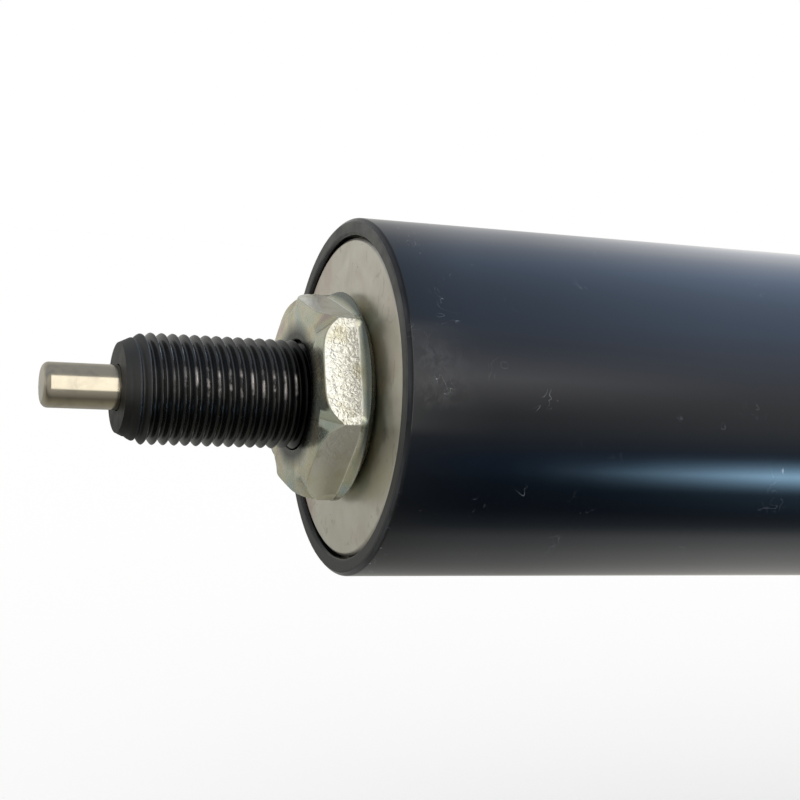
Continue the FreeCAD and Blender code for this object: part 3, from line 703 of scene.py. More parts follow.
paint(turned_aluminium, "piston")
paint(sintered_bronze, "valve_sleeve")
paint(black_rubber, "valve_inner_seal", "valve_outer_seal", "piston_seal")
paint(black_nylon, "piston_ring")
paint(ground_steel, "valve_stem", "piston_cap")


# Rod guide with what sits in it: wiper, bronze bush, rubber rings, steel washer and snap ring, and
# the elastic stop that the piston meets. All of it slides on to the rod before the tube.
STOP_GREEN = (0.045, 0.10, 0.065, 1.0)
STOP_DARK = (0.03, 0.07, 0.045, 1.0)
STOP_CLOUDS = (0.4, 4.0)
STOP_GLOSS_CLOUDS = (1.5, 3.0)
STOP_GLOSS = (0.32, 0.50)
STOP_GRAIN_CLOUDS = (5.0, 2.0)
STOP_GRAIN_DEPTH = 0.008

moulded_elastic, tree, shader, spot = grained(
    "moulded_elastic", STOP_GREEN, STOP_GLOSS_CLOUDS, STOP_GLOSS, STOP_GRAIN_CLOUDS, STOP_GRAIN_DEPTH,
)
clouded = mix_colours(tree, noise(tree, spot, *STOP_CLOUDS), STOP_GREEN, STOP_DARK)
feed(tree, shader["Base Color"], clouded)

paint(turned_aluminium, "rod_guide")
paint(sintered_bronze, "rod_bush")
paint(moulded_elastic, "rod_wiper", "extension_stop")
paint(black_rubber, "guide_seal", "rod_seal", "plug_seal")
paint(ground_steel, "seal_washer", "snap_ring")


# Pressure tube: drawn steel tube, sprayed black, its ends rolled in over the guide and the plug
# and beaded into a groove of each.
tube_low, tube_high = (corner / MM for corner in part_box("pressure_tube"))
TUBE_RADIUS = tube_high.y
TUBE_WALL = 1.5
TUBE_LIP_RADIUS = 10.5
TUBE_LIP_ROUND = 1.2
TUBE_LIP_STEPS = 8
TUBE_BEADS = (88.9, 200.9)
TUBE_STEPS = 192
BEAD_RADIUS = 0.7
BEAD_OFFSET = 0.2
BEAD_SOFTNESS = 0.25
BEAD_STEPS = 8
TUBE_BLACK = (0.012, 0.012, 0.013, 1.0)
TUBE_GLOSS_CLOUDS = (0.25, 4.0)
TUBE_GLOSS = (0.18, 0.32)
TUBE_SPRAY_CLOUDS = (1.6, 2.0)
TUBE_SPRAY_DEPTH = 0.0015
EDGE_STEPS = 3
EDGES_FROM = radians(30)


def edge_rounds(piece, width):
    """Round a piece's sharp edges and leave its flat faces flat."""
    modifier = piece.modifiers.new("edge_rounds", "BEVEL")
    modifier.width = width * MM
    modifier.segments = EDGE_STEPS
    modifier.limit_method = "ANGLE"
    modifier.angle_limit = EDGES_FROM
    modifier.harden_normals = True
    return settle(piece)


sprayed_black = grained(
    "sprayed_black", TUBE_BLACK, TUBE_GLOSS_CLOUDS, TUBE_GLOSS, TUBE_SPRAY_CLOUDS, TUBE_SPRAY_DEPTH,
)[0]

tube_inner = TUBE_RADIUS - TUBE_WALL
tube_outline = [
    (tube_low.x, TUBE_LIP_RADIUS),
    *rounded(tube_low.x, TUBE_RADIUS, TUBE_LIP_ROUND, TUBE_LIP_STEPS),
]
bead_half = sqrt(BEAD_RADIUS ** 2 - BEAD_OFFSET ** 2)
for bead in TUBE_BEADS:
    tube_outline.append((bead - bead_half - BEAD_SOFTNESS, TUBE_RADIUS))
    for step in range(BEAD_STEPS + 1):
        share = 2 * step / BEAD_STEPS - 1
        depth = sqrt(max(BEAD_RADIUS ** 2 - (share * bead_half) ** 2, 0.0)) - BEAD_OFFSET
        tube_outline.append((bead + share * bead_half, TUBE_RADIUS - depth))
    tube_outline.append((bead + bead_half + BEAD_SOFTNESS, TUBE_RADIUS))
tube_outline += [
    *rounded(tube_high.x, TUBE_RADIUS, TUBE_LIP_ROUND, TUBE_LIP_STEPS, -1),
    (tube_high.x, TUBE_LIP_RADIUS), (tube_high.x - TUBE_WALL, TUBE_LIP_RADIUS),
    (tube_high.x - TUBE_WALL, tube_inner), (tube_low.x + TUBE_WALL, tube_inner),
    (tube_low.x + TUBE_WALL, TUBE_LIP_RADIUS),
]
gas_tube = turned("gas_tube", tube_outline, TUBE_STEPS)
gas_tube.data.materials.append(sprayed_black)
gas_tube.data.set_sharp_from_angle(angle=SHARP_FROM)
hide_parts("pressure_tube")
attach(gas_tube, "cylinder")


# End plug: turned aluminium, pressed into the tube's back, with a tapped boss that stands out.
# A rubber ring in its groove seals it, and the tube's bead and rolled lip hold it in.
plug_low, plug_high = (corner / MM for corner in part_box("end_plug"))
PLUG_RADIUS = plug_high.y
PLUG_LENGTH = 12.0
PLUG_BOSS_RADIUS = 9.0
PLUG_HOLE_RADIUS = 4.05
PLUG_HOLE_DEPTH = 13.0
PLUG_GROOVE_FRONT = 195.6
PLUG_GROOVE_BACK = 198.0
PLUG_GROOVE_FLOOR = 10.55
PLUG_EDGE = 0.2
PLUG_STEPS = 128

plug = turned("back_plug", [
    (plug_low.x, 0.0), (plug_low.x, PLUG_RADIUS),
    (PLUG_GROOVE_FRONT, PLUG_RADIUS), (PLUG_GROOVE_FRONT, PLUG_GROOVE_FLOOR),
    (PLUG_GROOVE_BACK, PLUG_GROOVE_FLOOR), (PLUG_GROOVE_BACK, PLUG_RADIUS),
    (plug_low.x + PLUG_LENGTH, PLUG_RADIUS), (plug_low.x + PLUG_LENGTH, PLUG_BOSS_RADIUS),
    (plug_high.x, PLUG_BOSS_RADIUS), (plug_high.x, PLUG_HOLE_RADIUS),
    (plug_high.x - PLUG_HOLE_DEPTH, PLUG_HOLE_RADIUS), (plug_high.x - PLUG_HOLE_DEPTH, 0.0),
], PLUG_STEPS)
edge_rounds(plug, PLUG_EDGE)
plug.data.materials.append(turned_aluminium)
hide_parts("end_plug")
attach(plug, "cylinder")


# Hexagon nuts: bar steel, cut, chamfered and drilled, then zinc plated. One rule makes both of
# them, the thin one that locks the eye's stud here and the collared one on the rod further on.
eye_nut_low, eye_nut_high = (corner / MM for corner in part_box("eye_nut"))
EYE_NUT_FLATS = 13.0
EYE_NUT_TURN = 30.0
EYE_NUT_FACE = 6.1
EYE_NUT_HOLE = 4.05
EYE_NUT_CORNER_CUT = 0.8
EYE_NUT_MIDDLE_CUT = 0.23
EYE_NUT_BACK_CUT = 0.58
EYE_NUT_EDGE = 0.1
SIDES = 6
SIDE_TURN = FULL_TURN / SIDES
NUT_STEPS_A_SIDE = 24
NUT_ROWS = 9
NUT_FLAT_ROW = 2.5
NUT_FLAT_ROW_HALF = 0.45
NUT_CORNER_POWER = 5.0
NUT_SEAM = 0.001
NUT_METAL = 0.9
ZINC = (0.62, 0.61, 0.50, 1.0)
ZINC_GREEN = (0.53, 0.57, 0.45, 1.0)
ZINC_YELLOW = (0.66, 0.62, 0.44, 1.0)
ZINC_BLUE = (0.48, 0.56, 0.54, 1.0)
ZINC_ROSE = (0.60, 0.50, 0.44, 1.0)
ZINC_CUT = (0.92, 0.91, 0.83, 1.0)
ZINC_HIGHLIGHT = (0.98, 0.95, 0.76, 1.0)
ZINC_TINTS = [
    (0.28, ZINC_BLUE),
    (0.40, ZINC_GREEN),
    (0.50, ZINC),
    (0.60, ZINC_YELLOW),
    (0.72, ZINC_ROSE),
]
ZINC_TINT_CLOUDS = (0.22, 2.0, 1.2)
ZINC_CUT_CLOUDS = (0.5, 3.0)
ZINC_CUT_LEVELS = (0.5, 0.75)
ZINC_GLOSS_CLOUDS = (0.7, 4.0)
ZINC_GLOSS = (0.16, 0.34)
FLAT_DULL = 0.30
FLAT_ALONG = 0.8
FLAT_ROUND = 8.5
FLAT_CLOUDS = (2.6, 3.0, 0.9)
FLAT_DEPTH = 0.08
SOFT_CLOUDS = (0.9, 3.0)
SOFT_DEPTH = 0.012
UNDER_NUT = (-6.0, -3.0)
UNDER_NUT_SHARE = 0.2
HIGHLIGHT_UNDER = (-4.0, -7.0)
HIGHLIGHT_SHARE = 0.8
FOOT_SHADE = (0.17, 0.19, 0.17, 1.0)
FOOT_FRONT = (3.6, 3.8)
FOOT_BACK = (6.5, 6.0)
COLLAR_SHADE = (4.3, 4.1)
COLLAR_SHADE_SHARE = 0.25
FACE_SHADE = (0.035, 0.036, 0.034, 1.0)
FACE_SHADE_OUT = (7.0, 5.6)
FACE_SHADE_BACK = (0.6, 0.3)

zinc_nut, tree, shader, spot = new_finish("zinc_nut", ZINC, NUT_METAL)
along, radius, angle = round_x(tree, spot)
up = split(tree, spot)[2]
flat = tree.nodes.new("ShaderNodeAttribute")
flat.attribute_name = "flat"
on_flat = flat.outputs["Fac"]
above = spread(tree, up, *UNDER_NUT, UNDER_NUT_SHARE, 1.0)
# Painted shade on the collar's front slope behind the flats, weaker on the nut's underside and on the
# collar's foot.
shade_at_foot = times(
    tree,
    spread(tree, along, *FOOT_FRONT),
    spread(tree, along, *FOOT_BACK),
    above,
    spread(tree, along, *COLLAR_SHADE, COLLAR_SHADE_SHARE, 1.0),
)
# Painted shade on the front face round the hole, where the face meets the thread.
shade_by_rod = times(tree, spread(tree, radius, *FACE_SHADE_OUT), spread(tree, along, *FACE_SHADE_BACK))
plated = ramp(tree, noise(tree, spot, *ZINC_TINT_CLOUDS), ZINC_TINTS)
plated = mix_colours(tree, shade_at_foot, plated, FOOT_SHADE)
plated = mix_colours(tree, shade_by_rod, plated, FACE_SHADE)
cut_tint_and_highlight = mix_colours(tree, patches(tree, spot, ZINC_CUT_CLOUDS, ZINC_CUT_LEVELS), ZINC_CUT, ZINC_YELLOW)
# Painted highlight: the flats on the nut's underside are made paler, where more light falls on them.
cut_tint_and_highlight = mix_colours(tree, spread(tree, up, *HIGHLIGHT_UNDER, 0.0, HIGHLIGHT_SHARE), cut_tint_and_highlight, ZINC_HIGHLIGHT)
feed(tree, shader["Base Color"], mix_colours(tree, on_flat, plated, cut_tint_and_highlight))
nut_gloss = patches(tree, spot, ZINC_GLOSS_CLOUDS, GLOSS_LEVELS, ZINC_GLOSS)
feed(tree, shader["Roughness"], math_node(tree, "MAXIMUM", nut_gloss, times(tree, on_flat, FLAT_DULL)))
beaten_place = vector_of(tree, times(tree, along, FLAT_ALONG), times(tree, angle, FLAT_ROUND), 0.0)
beaten = times(tree, noise(tree, beaten_place, *FLAT_CLOUDS), on_flat, above)
soft = bump(tree, noise(tree, spot, *SOFT_CLOUDS), SOFT_DEPTH)
feed(tree, shader["Normal"], bump(tree, beaten, FLAT_DEPTH, soft))

nut_tree, given, result = new_tree("hexagon_nut", [
    "Front", "Height", "Flats", "Turn", "Face Radius", "Corner Cut", "Middle Cut", "Flat Back",
    "Neck Radius", "Collar Radius", "Collar Thickness", "Collar Taper", "Hole Radius", "Back Cut",
])
grid = nut_tree.nodes.new("GeometryNodeMeshGrid")
grid.inputs["Size X"].default_value = 1.0
grid.inputs["Size Y"].default_value = 1.0
grid.inputs["Vertices X"].default_value = SIDES * NUT_STEPS_A_SIDE + 1
grid.inputs["Vertices Y"].default_value = NUT_ROWS
position = nut_tree.nodes.new("GeometryNodeInputPosition").outputs["Position"]
round_share, row_share = split(nut_tree, position)[:2]
row = times(nut_tree, math_node(nut_tree, "ADD", row_share, 0.5), NUT_ROWS - 1.0)
from_corner = times(nut_tree, round_share, FULL_TURN)
side = math_node(nut_tree, "WRAP", from_corner, SIDE_TURN, 0.0)
off_middle = less(nut_tree, side, SIDE_TURN / 2)
half_flats = math_node(nut_tree, "DIVIDE", given["Flats"], 2.0)
bar = math_node(nut_tree, "DIVIDE", half_flats, math_node(nut_tree, "COSINE", off_middle))
towards_corner = math_node(nut_tree, "ABSOLUTE", off_middle)
towards_corner = math_node(nut_tree, "DIVIDE", towards_corner, SIDE_TURN / 2)
towards_corner = math_node(nut_tree, "POWER", towards_corner, NUT_CORNER_POWER)
front_cut = less(nut_tree, given["Corner Cut"], given["Middle Cut"])
front_cut = math_node(nut_tree, "MULTIPLY_ADD", front_cut, towards_corner, given["Middle Cut"])
back_cut = times(nut_tree, given["Back Cut"], towards_corner)
flat_back = less(nut_tree, given["Flat Back"], back_cut)
collar_front = less(nut_tree, given["Height"], given["Collar Thickness"])
foot_radius = less(nut_tree, given["Collar Radius"], given["Collar Taper"])
row_places = [
    (0.0, given["Hole Radius"]), (0.0, given["Face Radius"]), (front_cut, bar), (flat_back, bar),
    (collar_front, given["Neck Radius"]), (collar_front, given["Collar Radius"]),
    (given["Height"], foot_radius), (given["Height"], given["Hole Radius"]), (0.0, given["Hole Radius"]),
]


def by_row(tree, row, terms):
    """The term that belongs to this row."""
    made = tree.nodes.new("GeometryNodeIndexSwitch")
    made.data_type = "FLOAT"
    while len(made.index_switch_items) < len(terms):
        made.index_switch_items.new()
    tree.links.new(row, made.inputs["Index"])
    for index, term in enumerate(terms):
        feed(tree, made.inputs[index + 1], term)
    return made.outputs["Output"]


whole_row = math_node(nut_tree, "ROUND", row)
row_along, row_radius = (by_row(nut_tree, whole_row, terms) for terms in zip(*row_places))
marked = nut_tree.nodes.new("GeometryNodeStoreNamedAttribute")
marked.data_type = "FLOAT"
marked.domain = "FACE"
marked.inputs["Name"].default_value = "flat"
nut_tree.links.new(grid.outputs["Mesh"], marked.inputs["Geometry"])
is_flat = math_node(nut_tree, "COMPARE", row, NUT_FLAT_ROW, NUT_FLAT_ROW_HALF)
feed(nut_tree, marked.inputs["Value"], is_flat)
shaped = chain(
    nut_tree, "GeometryNodeSetPosition", marked.outputs["Geometry"],
    position=about_x(
        nut_tree,
        math_node(nut_tree, "ADD", given["Front"], row_along),
        row_radius,
        math_node(nut_tree, "ADD", from_corner, given["Turn"]),
    ),
)
closed = chain(nut_tree, "GeometryNodeMergeByDistance", shaped, distance=NUT_SEAM * MM)
smooth = chain(nut_tree, "GeometryNodeSetShadeSmooth", closed)
close_tree(nut_tree, smooth, given, result)


def hexagon_nut(name, turn, edge, sizes):
    """A nut made by the rule from sizes in millimetres, with its edges rounded."""
    piece = bpy.data.objects.new(name, bpy.data.meshes.new(name))
    bpy.context.scene.collection.objects.link(piece)
    values = {size: length * MM for size, length in sizes.items()}
    run_tree(piece, nut_tree, {**values, "Turn": radians(turn), "Material": zinc_nut})
    return edge_rounds(piece, edge)


stud_nut = hexagon_nut("stud_nut", EYE_NUT_TURN, EYE_NUT_EDGE, {
    "Front": eye_nut_low.x,
    "Height": eye_nut_high.x - eye_nut_low.x,
    "Flats": EYE_NUT_FLATS,
    "Face Radius": EYE_NUT_FACE,
    "Corner Cut": EYE_NUT_CORNER_CUT,
    "Middle Cut": EYE_NUT_MIDDLE_CUT,
    "Flat Back": eye_nut_high.x - eye_nut_low.x - EYE_NUT_MIDDLE_CUT,
    "Neck Radius": EYE_NUT_FACE,
    "Collar Radius": EYE_NUT_FACE,
    "Collar Thickness": 0.0,
    "Collar Taper": 0.0,
    "Hole Radius": EYE_NUT_HOLE,
    "Back Cut": EYE_NUT_BACK_CUT,
})
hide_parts("eye_nut")
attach(stud_nut, "cylinder")


# Rear eye: forged steel, zinc plated, its stud screwed into the plug. The hole is drilled after
# forging, and a bronze bush is pressed in.
eye_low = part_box("rear_eye")[0] / MM
bush_low, bush_high = (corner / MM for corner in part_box("eye_bush"))
EYE_CENTRE = 228.0
EYE_RING_RADIUS = 9.0
EYE_HOLE_RADIUS = 5.0
EYE_HALF_THICK = 5.0
EYE_EDGE = 0.6
EYE_STUD_RADIUS = 4.0
EYE_SEAT = 214.0
EYE_SHOULDER_RADIUS = 6.0
EYE_SHOULDER_LENGTH = 2.0
EYE_NECK_RADIUS = 4.5
EYE_STEPS = 96
FORGE_GRAIN = 0.35
FORGE_SOFTNESS = 0.5
FORGE_PASSES = 6
FORGE_SHARP_FROM = radians(40)
BUSH_BORE = 4.05
BUSH_EDGE = 0.15
PLATE = (0.68, 0.65, 0.57, 1.0)
PLATE_PALE = (0.80, 0.78, 0.70, 1.0)
PLATE_CLOUDS = (0.16, 5.0, 0.8)
PLATE_LEVELS = (0.35, 0.65)
PLATE_ROSE = (0.66, 0.56, 0.50, 1.0)
PLATE_ROSE_CLOUDS = (0.12, 3.0, 0.5)
PLATE_ROSE_LEVELS = (0.52, 0.70)
PLATE_ROSE_SHARES = (0.0, 0.8)
PLATE_STAIN = (0.46, 0.41, 0.35, 1.0)
PLATE_STAIN_CLOUDS = (0.45, 6.0, 1.5)
PLATE_STAIN_LEVELS = (0.60, 0.74)
PLATE_STAIN_SHARES = (0.0, 0.6)
PLATE_SPECK = (0.05, 0.045, 0.04, 1.0)
PLATE_SPECK_CLOUDS = (3.2, 2.0)
PLATE_SPECK_LEVELS = (0.74, 0.78)
PLATE_GLOSS_CLOUDS = (0.6, 4.0)
PLATE_GLOSS = (0.31, 0.45)
PLATE_GRAIN_CLOUDS = (5.0, 3.0)
PLATE_GRAIN_DEPTH = 0.006
PLATE_TURNING = (7.0, 7.0, 0.0)
PLATE_TURNING_DEPTH = 0.008
NUT_SHADE = (0.07, 0.07, 0.06, 1.0)
NUT_SHADE_OUT = (9.2, 7.9)
NUT_SHADE_BACK = (7.0, 6.0)
NUT_SHADE_TOP = (8.0, 0.0)
NUT_SHADE_CLOUDS = (0.3, 4.0)
NUT_SHADE_LEVELS = (0.30, 0.62)
NUT_SHADE_SHARES = (0.25, 1.0)

zinc_plate, tree, shader, spot = new_finish("zinc_plate", PLATE, 1.0)
along, radius = round_x(tree, spot)[:2]
pale = patches(tree, spot, PLATE_CLOUDS, PLATE_LEVELS)
rosy = patches(tree, spot, PLATE_ROSE_CLOUDS, PLATE_ROSE_LEVELS, PLATE_ROSE_SHARES)
stained = patches(tree, spot, PLATE_STAIN_CLOUDS, PLATE_STAIN_LEVELS, PLATE_STAIN_SHARES)
# Painted shade on the disc round the nut's foot, in patches from noise and fading towards the top.
shade_by_nut = times(
    tree,
    spread(tree, radius, *NUT_SHADE_OUT),
    patches(tree, spot, NUT_SHADE_CLOUDS, NUT_SHADE_LEVELS, NUT_SHADE_SHARES),
    spread(tree, along, *NUT_SHADE_BACK),
    spread(tree, split(tree, spot)[2], *NUT_SHADE_TOP),
)
specks = patches(tree, spot, PLATE_SPECK_CLOUDS, PLATE_SPECK_LEVELS)
coloured = mix_colours(tree, pale, PLATE, PLATE_PALE)
for share, colour in (
    (rosy, PLATE_ROSE), (stained, PLATE_STAIN), (shade_by_nut, NUT_SHADE), (specks, PLATE_SPECK),
):
    coloured = mix_colours(tree, share, coloured, colour)
feed(tree, shader["Base Color"], coloured)
feed(tree, shader["Roughness"], patches(tree, spot, PLATE_GLOSS_CLOUDS, GLOSS_LEVELS, PLATE_GLOSS))
grain = bump(tree, noise(tree, spot, *PLATE_GRAIN_CLOUDS), PLATE_GRAIN_DEPTH)
turning = tool_marks(tree, spot, PLATE_TURNING, TURNED_FINE)
feed(tree, shader["Normal"], bump(tree, turning, PLATE_TURNING_DEPTH, grain))


def cut_with(piece, tool, operation):
    """Join a tool to a piece, or cut it away, and remove the tool."""
    modifier = piece.modifiers.new(operation.lower(), "BOOLEAN")
    modifier.operation = operation
    modifier.object = tool
    modifier.solver = "EXACT"
    settle(piece)
    bpy.data.objects.remove(tool)


def drum(name, radius, half_length):
    """A short solid drum across the axis at the eye's centre, its two rims chamfered."""
    piece = turned(name, [
        (-half_length, 0.0), (-half_length, radius - EYE_EDGE), (-half_length + EYE_EDGE, radius),
        (half_length - EYE_EDGE, radius), (half_length, radius - EYE_EDGE), (half_length, 0.0),
    ], EYE_STEPS, "Y")
    piece.data.transform(Matrix.Translation((EYE_CENTRE * MM, 0.0, 0.0)))
    return piece


forged = turned("forged_eye", [
    (eye_low.x, 0.0), (eye_low.x, EYE_STUD_RADIUS - EYE_EDGE), (eye_low.x + EYE_EDGE, EYE_STUD_RADIUS),
    (EYE_SEAT, EYE_STUD_RADIUS), (EYE_SEAT, EYE_SHOULDER_RADIUS),
    (EYE_SEAT + EYE_SHOULDER_LENGTH, EYE_SHOULDER_RADIUS), (EYE_CENTRE - EYE_HOLE_RADIUS, EYE_NECK_RADIUS),
    (EYE_CENTRE - EYE_HOLE_RADIUS, 0.0),
], EYE_STEPS)
cut_with(forged, drum("ring", EYE_RING_RADIUS, EYE_HALF_THICK), "UNION")
remesh = forged.modifiers.new("forging", "REMESH")
remesh.mode = "VOXEL"
remesh.voxel_size = FORGE_GRAIN * MM
remesh.use_smooth_shade = True
soften = forged.modifiers.new("soften", "SMOOTH")
soften.factor = FORGE_SOFTNESS
soften.iterations = FORGE_PASSES
settle(forged)
cut_with(forged, drum("drill", EYE_HOLE_RADIUS, EYE_HALF_THICK * 2), "DIFFERENCE")
forged.data.materials.clear()
forged.data.materials.append(zinc_plate)
forged.data.set_sharp_from_angle(angle=FORGE_SHARP_FROM)
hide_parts("rear_eye")
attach(forged, "cylinder")

liner = turned("eye_liner", [
    (bush_low.y, BUSH_BORE), (bush_low.y, EYE_HOLE_RADIUS), (bush_high.y, EYE_HOLE_RADIUS),
    (bush_high.y, BUSH_BORE),
], EYE_STEPS, "Y")
liner.data.transform(Matrix.Translation((EYE_CENTRE * MM, 0.0, 0.0)))
edge_rounds(liner, BUSH_EDGE)
liner.data.materials.append(sintered_bronze)
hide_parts("eye_bush")
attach(liner, "cylinder")


# Guide tube: seamless steel tube with a glossy blue-black finish, sawn off and lightly chamfered.
# The sawn rim is left dull, and the outer edge shows where the finish has rubbed off.
guide_low, guide_high = (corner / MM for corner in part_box("guide_tube"))
GUIDE_RADIUS = guide_high.y
GUIDE_WALL = 1.6
GUIDE_CHAMFER = 0.4
GUIDE_INNER_CHAMFER = 0.2
GUIDE_EDGE = 0.12
GUIDE_STEPS = 256
GUIDE_PAINT = (0.0022, 0.0032, 0.0050, 1.0)
GUIDE_GLOSS_CLOUDS = (0.12, 5.0)
GUIDE_GLOSS = (0.09, 0.14)
RIM_CUT = (0.028, 0.028, 0.027, 1.0)
RIM_SHEEN = (0.085, 0.085, 0.080, 1.0)
RIM_SHEEN_FROM = -4.0
RIM_SHEEN_CLOUDS = (0.5, 4.0)
RIM_SHEEN_LEVELS = (0.25, 0.60)
RIM_BACK = (0.11, 0.08)
RIM_DULL = 0.5
RIM_SAW_CLOUDS = (4.0, 4.0)
RIM_SAW_DEPTH = 0.02
EDGE_WORN = (0.030, 0.032, 0.037, 1.0)
EDGE_WORN_BACK = (0.40, 0.24)
EDGE_WORN_ROUND = 3.0
EDGE_WORN_CLOUDS = (1.0, 4.0)
EDGE_WORN_LEVELS = (0.35, 0.65)
EDGE_WORN_DULL = 0.08
SCUFF = (0.022, 0.023, 0.027, 1.0)
SCUFF_FRONT = (5.2, 6.7)
SCUFF_BACK = (11.5, 6.5)
SCUFF_LOW = (3.0, 9.0)
SCUFF_HIGH = (26.0, 20.0)
SCUFF_CLOUDS = (0.9, 7.0, 0.8)
SCUFF_LEVELS = (0.42, 0.60)
SCUFF_DULL = 0.12
SCUFF_UNEVEN = 0.5
SCRATCH = (0.30, 0.32, 0.36, 1.0)
SCRATCH_LINES = (0.45, 1.0, 1.5)
SCRATCH_WIDTH = (0.0018, 0.0005)
SCRATCH_CLOUDS = (0.30, 2.0)
SCRATCH_LEVELS = (0.63, 0.69)
SCRATCH_IN_SCUFF = 0.12

blue_black, tree, shader, spot = new_finish("blue_black_gloss", GUIDE_PAINT, 0.0)
along, angle = round_x(tree, spot)[::2]
across, up = split(tree, spot)[1:]
from_rim = less(tree, along, guide_low.x)
from_front = angle_from_front(tree, spot)
on_rim = spread(tree, from_rim, *RIM_BACK)
edge_place = vector_of(tree, along, times(tree, angle, EDGE_WORN_ROUND), 0.0)
on_edge = times(
    tree,
    spread(tree, from_rim, *EDGE_WORN_BACK),
    patches(tree, edge_place, EDGE_WORN_CLOUDS, EDGE_WORN_LEVELS),
)
in_scuff = times(
    tree,
    spread(tree, along, *SCUFF_FRONT),
    spread(tree, along, *SCUFF_BACK),
    spread(tree, from_front, *map(radians, SCUFF_LOW)),
    spread(tree, from_front, *map(radians, SCUFF_HIGH)),
)
scuffed = times(tree, patches(tree, spot, SCUFF_CLOUDS, SCUFF_LEVELS), in_scuff)
off_line = apart(tree, noise(tree, spot, *SCRATCH_LINES), 0.5)
scratched = noise(tree, vector_of(tree, up, along, across), *SCRATCH_CLOUDS)
scratched = math_node(tree, "ADD", scratched, times(tree, in_scuff, SCRATCH_IN_SCUFF))
scratch = times(tree, spread(tree, off_line, *SCRATCH_WIDTH), spread(tree, scratched, *SCRATCH_LEVELS))
# Painted sheen: the dull sawn rim is made lighter towards the top, in patches from noise.
sheen_on_rim = times(
    tree,
    spread(tree, up, RIM_SHEEN_FROM, GUIDE_RADIUS),
    patches(tree, spot, RIM_SHEEN_CLOUDS, RIM_SHEEN_LEVELS),
)
cut_rim_and_sheen = mix_colours(tree, sheen_on_rim, RIM_CUT, RIM_SHEEN)
coloured = mix_colours(tree, scuffed, GUIDE_PAINT, SCUFF)
for share, colour in ((scratch, SCRATCH), (on_edge, EDGE_WORN), (on_rim, cut_rim_and_sheen)):
    coloured = mix_colours(tree, share, coloured, colour)
feed(tree, shader["Base Color"], coloured)
dulled = patches(tree, spot, GUIDE_GLOSS_CLOUDS, GLOSS_LEVELS, GUIDE_GLOSS)
dulled = math_node(tree, "ADD", dulled, times(tree, scuffed, SCUFF_DULL))
dulled = math_node(tree, "ADD", dulled, times(tree, on_edge, EDGE_WORN_DULL))
feed(tree, shader["Roughness"], math_node(tree, "MAXIMUM", dulled, times(tree, on_rim, RIM_DULL)))
uneven = math_node(tree, "MAXIMUM", on_rim, times(tree, scuffed, SCUFF_UNEVEN))
sawn = times(tree, noise(tree, spot, *RIM_SAW_CLOUDS), uneven)
feed(tree, shader["Normal"], bump(tree, sawn, RIM_SAW_DEPTH))

guide_inner = GUIDE_RADIUS - GUIDE_WALL
outer_tube = turned("outer_tube", [
    (guide_low.x, guide_inner + GUIDE_INNER_CHAMFER), (guide_low.x, GUIDE_RADIUS - GUIDE_CHAMFER),
    (guide_low.x + GUIDE_CHAMFER, GUIDE_RADIUS), (guide_high.x - GUIDE_CHAMFER, GUIDE_RADIUS),
    (guide_high.x, GUIDE_RADIUS - GUIDE_CHAMFER), (guide_high.x, guide_inner + GUIDE_INNER_CHAMFER),
    (guide_high.x - GUIDE_INNER_CHAMFER, guide_inner), (guide_low.x + GUIDE_INNER_CHAMFER, guide_inner),
], GUIDE_STEPS)
edge_rounds(outer_tube, GUIDE_EDGE)
outer_tube.data.materials.append(blue_black)
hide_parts("guide_tube")
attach(outer_tube, "rod_and_guide")


# Slide bush: moulded nylon, snapped into the guide tube's open end, its collar over the edge. The
# pressure tube slides and turns in its bore.
slide_low, slide_high = (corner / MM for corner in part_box("slide_bush"))
SLIDE_BORE = 14.05
SLIDE_COLLAR = 2.0
SLIDE_LEAD = 0.5
SLIDE_EDGE = 0.15
SLIDE_STEPS = 192

end_bush = turned("end_bush", [
    (slide_low.x, SLIDE_BORE), (slide_low.x, guide_inner - SLIDE_LEAD),
    (slide_low.x + SLIDE_LEAD * 2, guide_inner), (slide_high.x - SLIDE_COLLAR, guide_inner),
    (slide_high.x - SLIDE_COLLAR, slide_high.y), (slide_high.x - SLIDE_LEAD, slide_high.y),
    (slide_high.x, slide_high.y - SLIDE_LEAD), (slide_high.x, SLIDE_BORE + SLIDE_LEAD),
    (slide_high.x - SLIDE_LEAD, SLIDE_BORE),
], SLIDE_STEPS)
edge_rounds(end_bush, SLIDE_EDGE)
end_bush.data.materials.append(black_nylon)
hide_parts("slide_bush")
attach(end_bush, "rod_and_guide")


# End disc: turned steel, zinc plated, pressed into the guide tube and screwed on to the rod
# through a hub behind it. Its front edge is broken by a small chamfer that catches the light.
disc_low, disc_high = (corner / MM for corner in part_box("end_disc"))
DISC_THICKNESS = 5.0
DISC_EDGE_GAP = 0.2
DISC_LIP_DEPTH = 1.5
DISC_CHAMFER = 0.3
DISC_HOLE = 5.05
DISC_HUB_RADIUS = 9.0
DISC_EDGE = 0.09
DISC_STEPS = 256

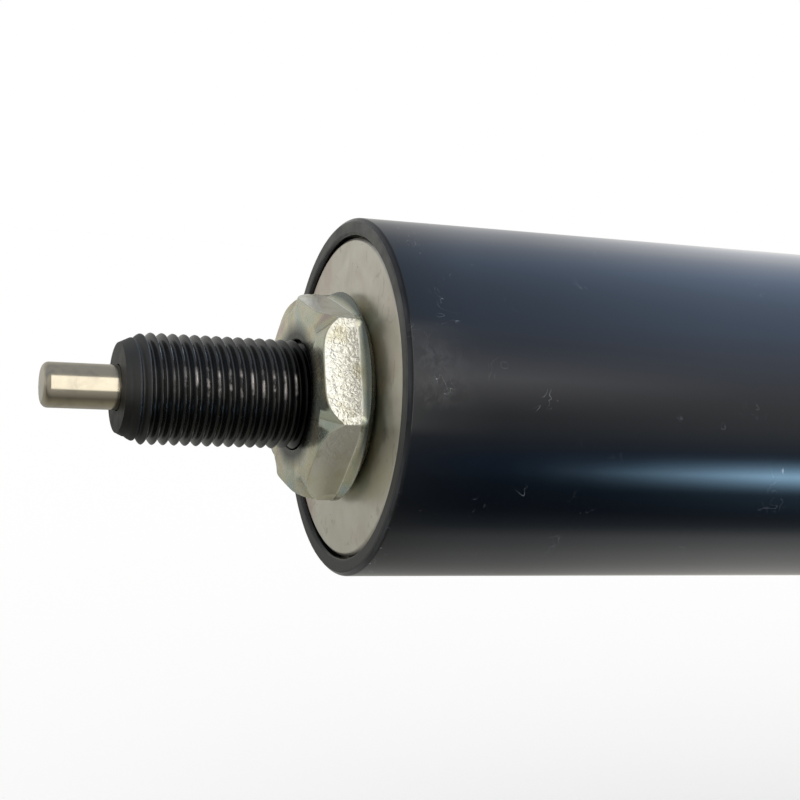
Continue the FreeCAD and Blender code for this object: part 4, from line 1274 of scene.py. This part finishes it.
disc_lip = guide_inner - DISC_EDGE_GAP
front_disc = turned("front_disc", [
    (disc_low.x, DISC_HOLE), (disc_low.x, disc_lip - DISC_CHAMFER), (disc_low.x + DISC_CHAMFER, disc_lip),
    (disc_low.x + DISC_LIP_DEPTH, disc_lip), (disc_low.x + DISC_LIP_DEPTH, guide_inner),
    (disc_low.x + DISC_THICKNESS, guide_inner), (disc_low.x + DISC_THICKNESS, DISC_HUB_RADIUS),
    (disc_high.x, DISC_HUB_RADIUS), (disc_high.x, DISC_HOLE),
], DISC_STEPS)
edge_rounds(front_disc, DISC_EDGE)
front_disc.data.materials.append(zinc_plate)
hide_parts("end_disc")
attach(front_disc, "rod_and_guide")


# Lock nut: thin hexagon nut tightened against the disc, its corners turned off steeply in front.
# The flats, rough from the bar and plated bright, slope out at the back to a round collar as wide
# as the corners, which narrows again towards the disc.
nut_low, nut_high = (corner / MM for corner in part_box("lock_nut"))
NUT_FLATS = 17.0
NUT_TURN = 68.0
NUT_FACE = 7.75
NUT_CORNER_CUT = 1.75
NUT_MIDDLE_CUT = 0.12
NUT_FLAT_BACK = 3.55
NUT_BACK_CUT = 0.3
NUT_COLLAR_RADIUS = 9.7
NUT_COLLAR_THICKNESS = 1.0
NUT_COLLAR_TAPER = 1.5
NUT_HOLE = 5.05
NUT_EDGE = 0.14

rod_nut = hexagon_nut("rod_nut", NUT_TURN, NUT_EDGE, {
    "Front": nut_low.x,
    "Height": nut_high.x - nut_low.x,
    "Flats": NUT_FLATS,
    "Face Radius": NUT_FACE,
    "Corner Cut": NUT_CORNER_CUT,
    "Middle Cut": NUT_MIDDLE_CUT,
    "Flat Back": NUT_FLAT_BACK,
    "Neck Radius": NUT_COLLAR_RADIUS,
    "Collar Radius": NUT_COLLAR_RADIUS,
    "Collar Thickness": NUT_COLLAR_THICKNESS,
    "Collar Taper": NUT_COLLAR_TAPER,
    "Hole Radius": NUT_HOLE,
    "Back Cut": NUT_BACK_CUT,
})
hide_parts("lock_nut")
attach(rod_nut, "rod_and_guide")
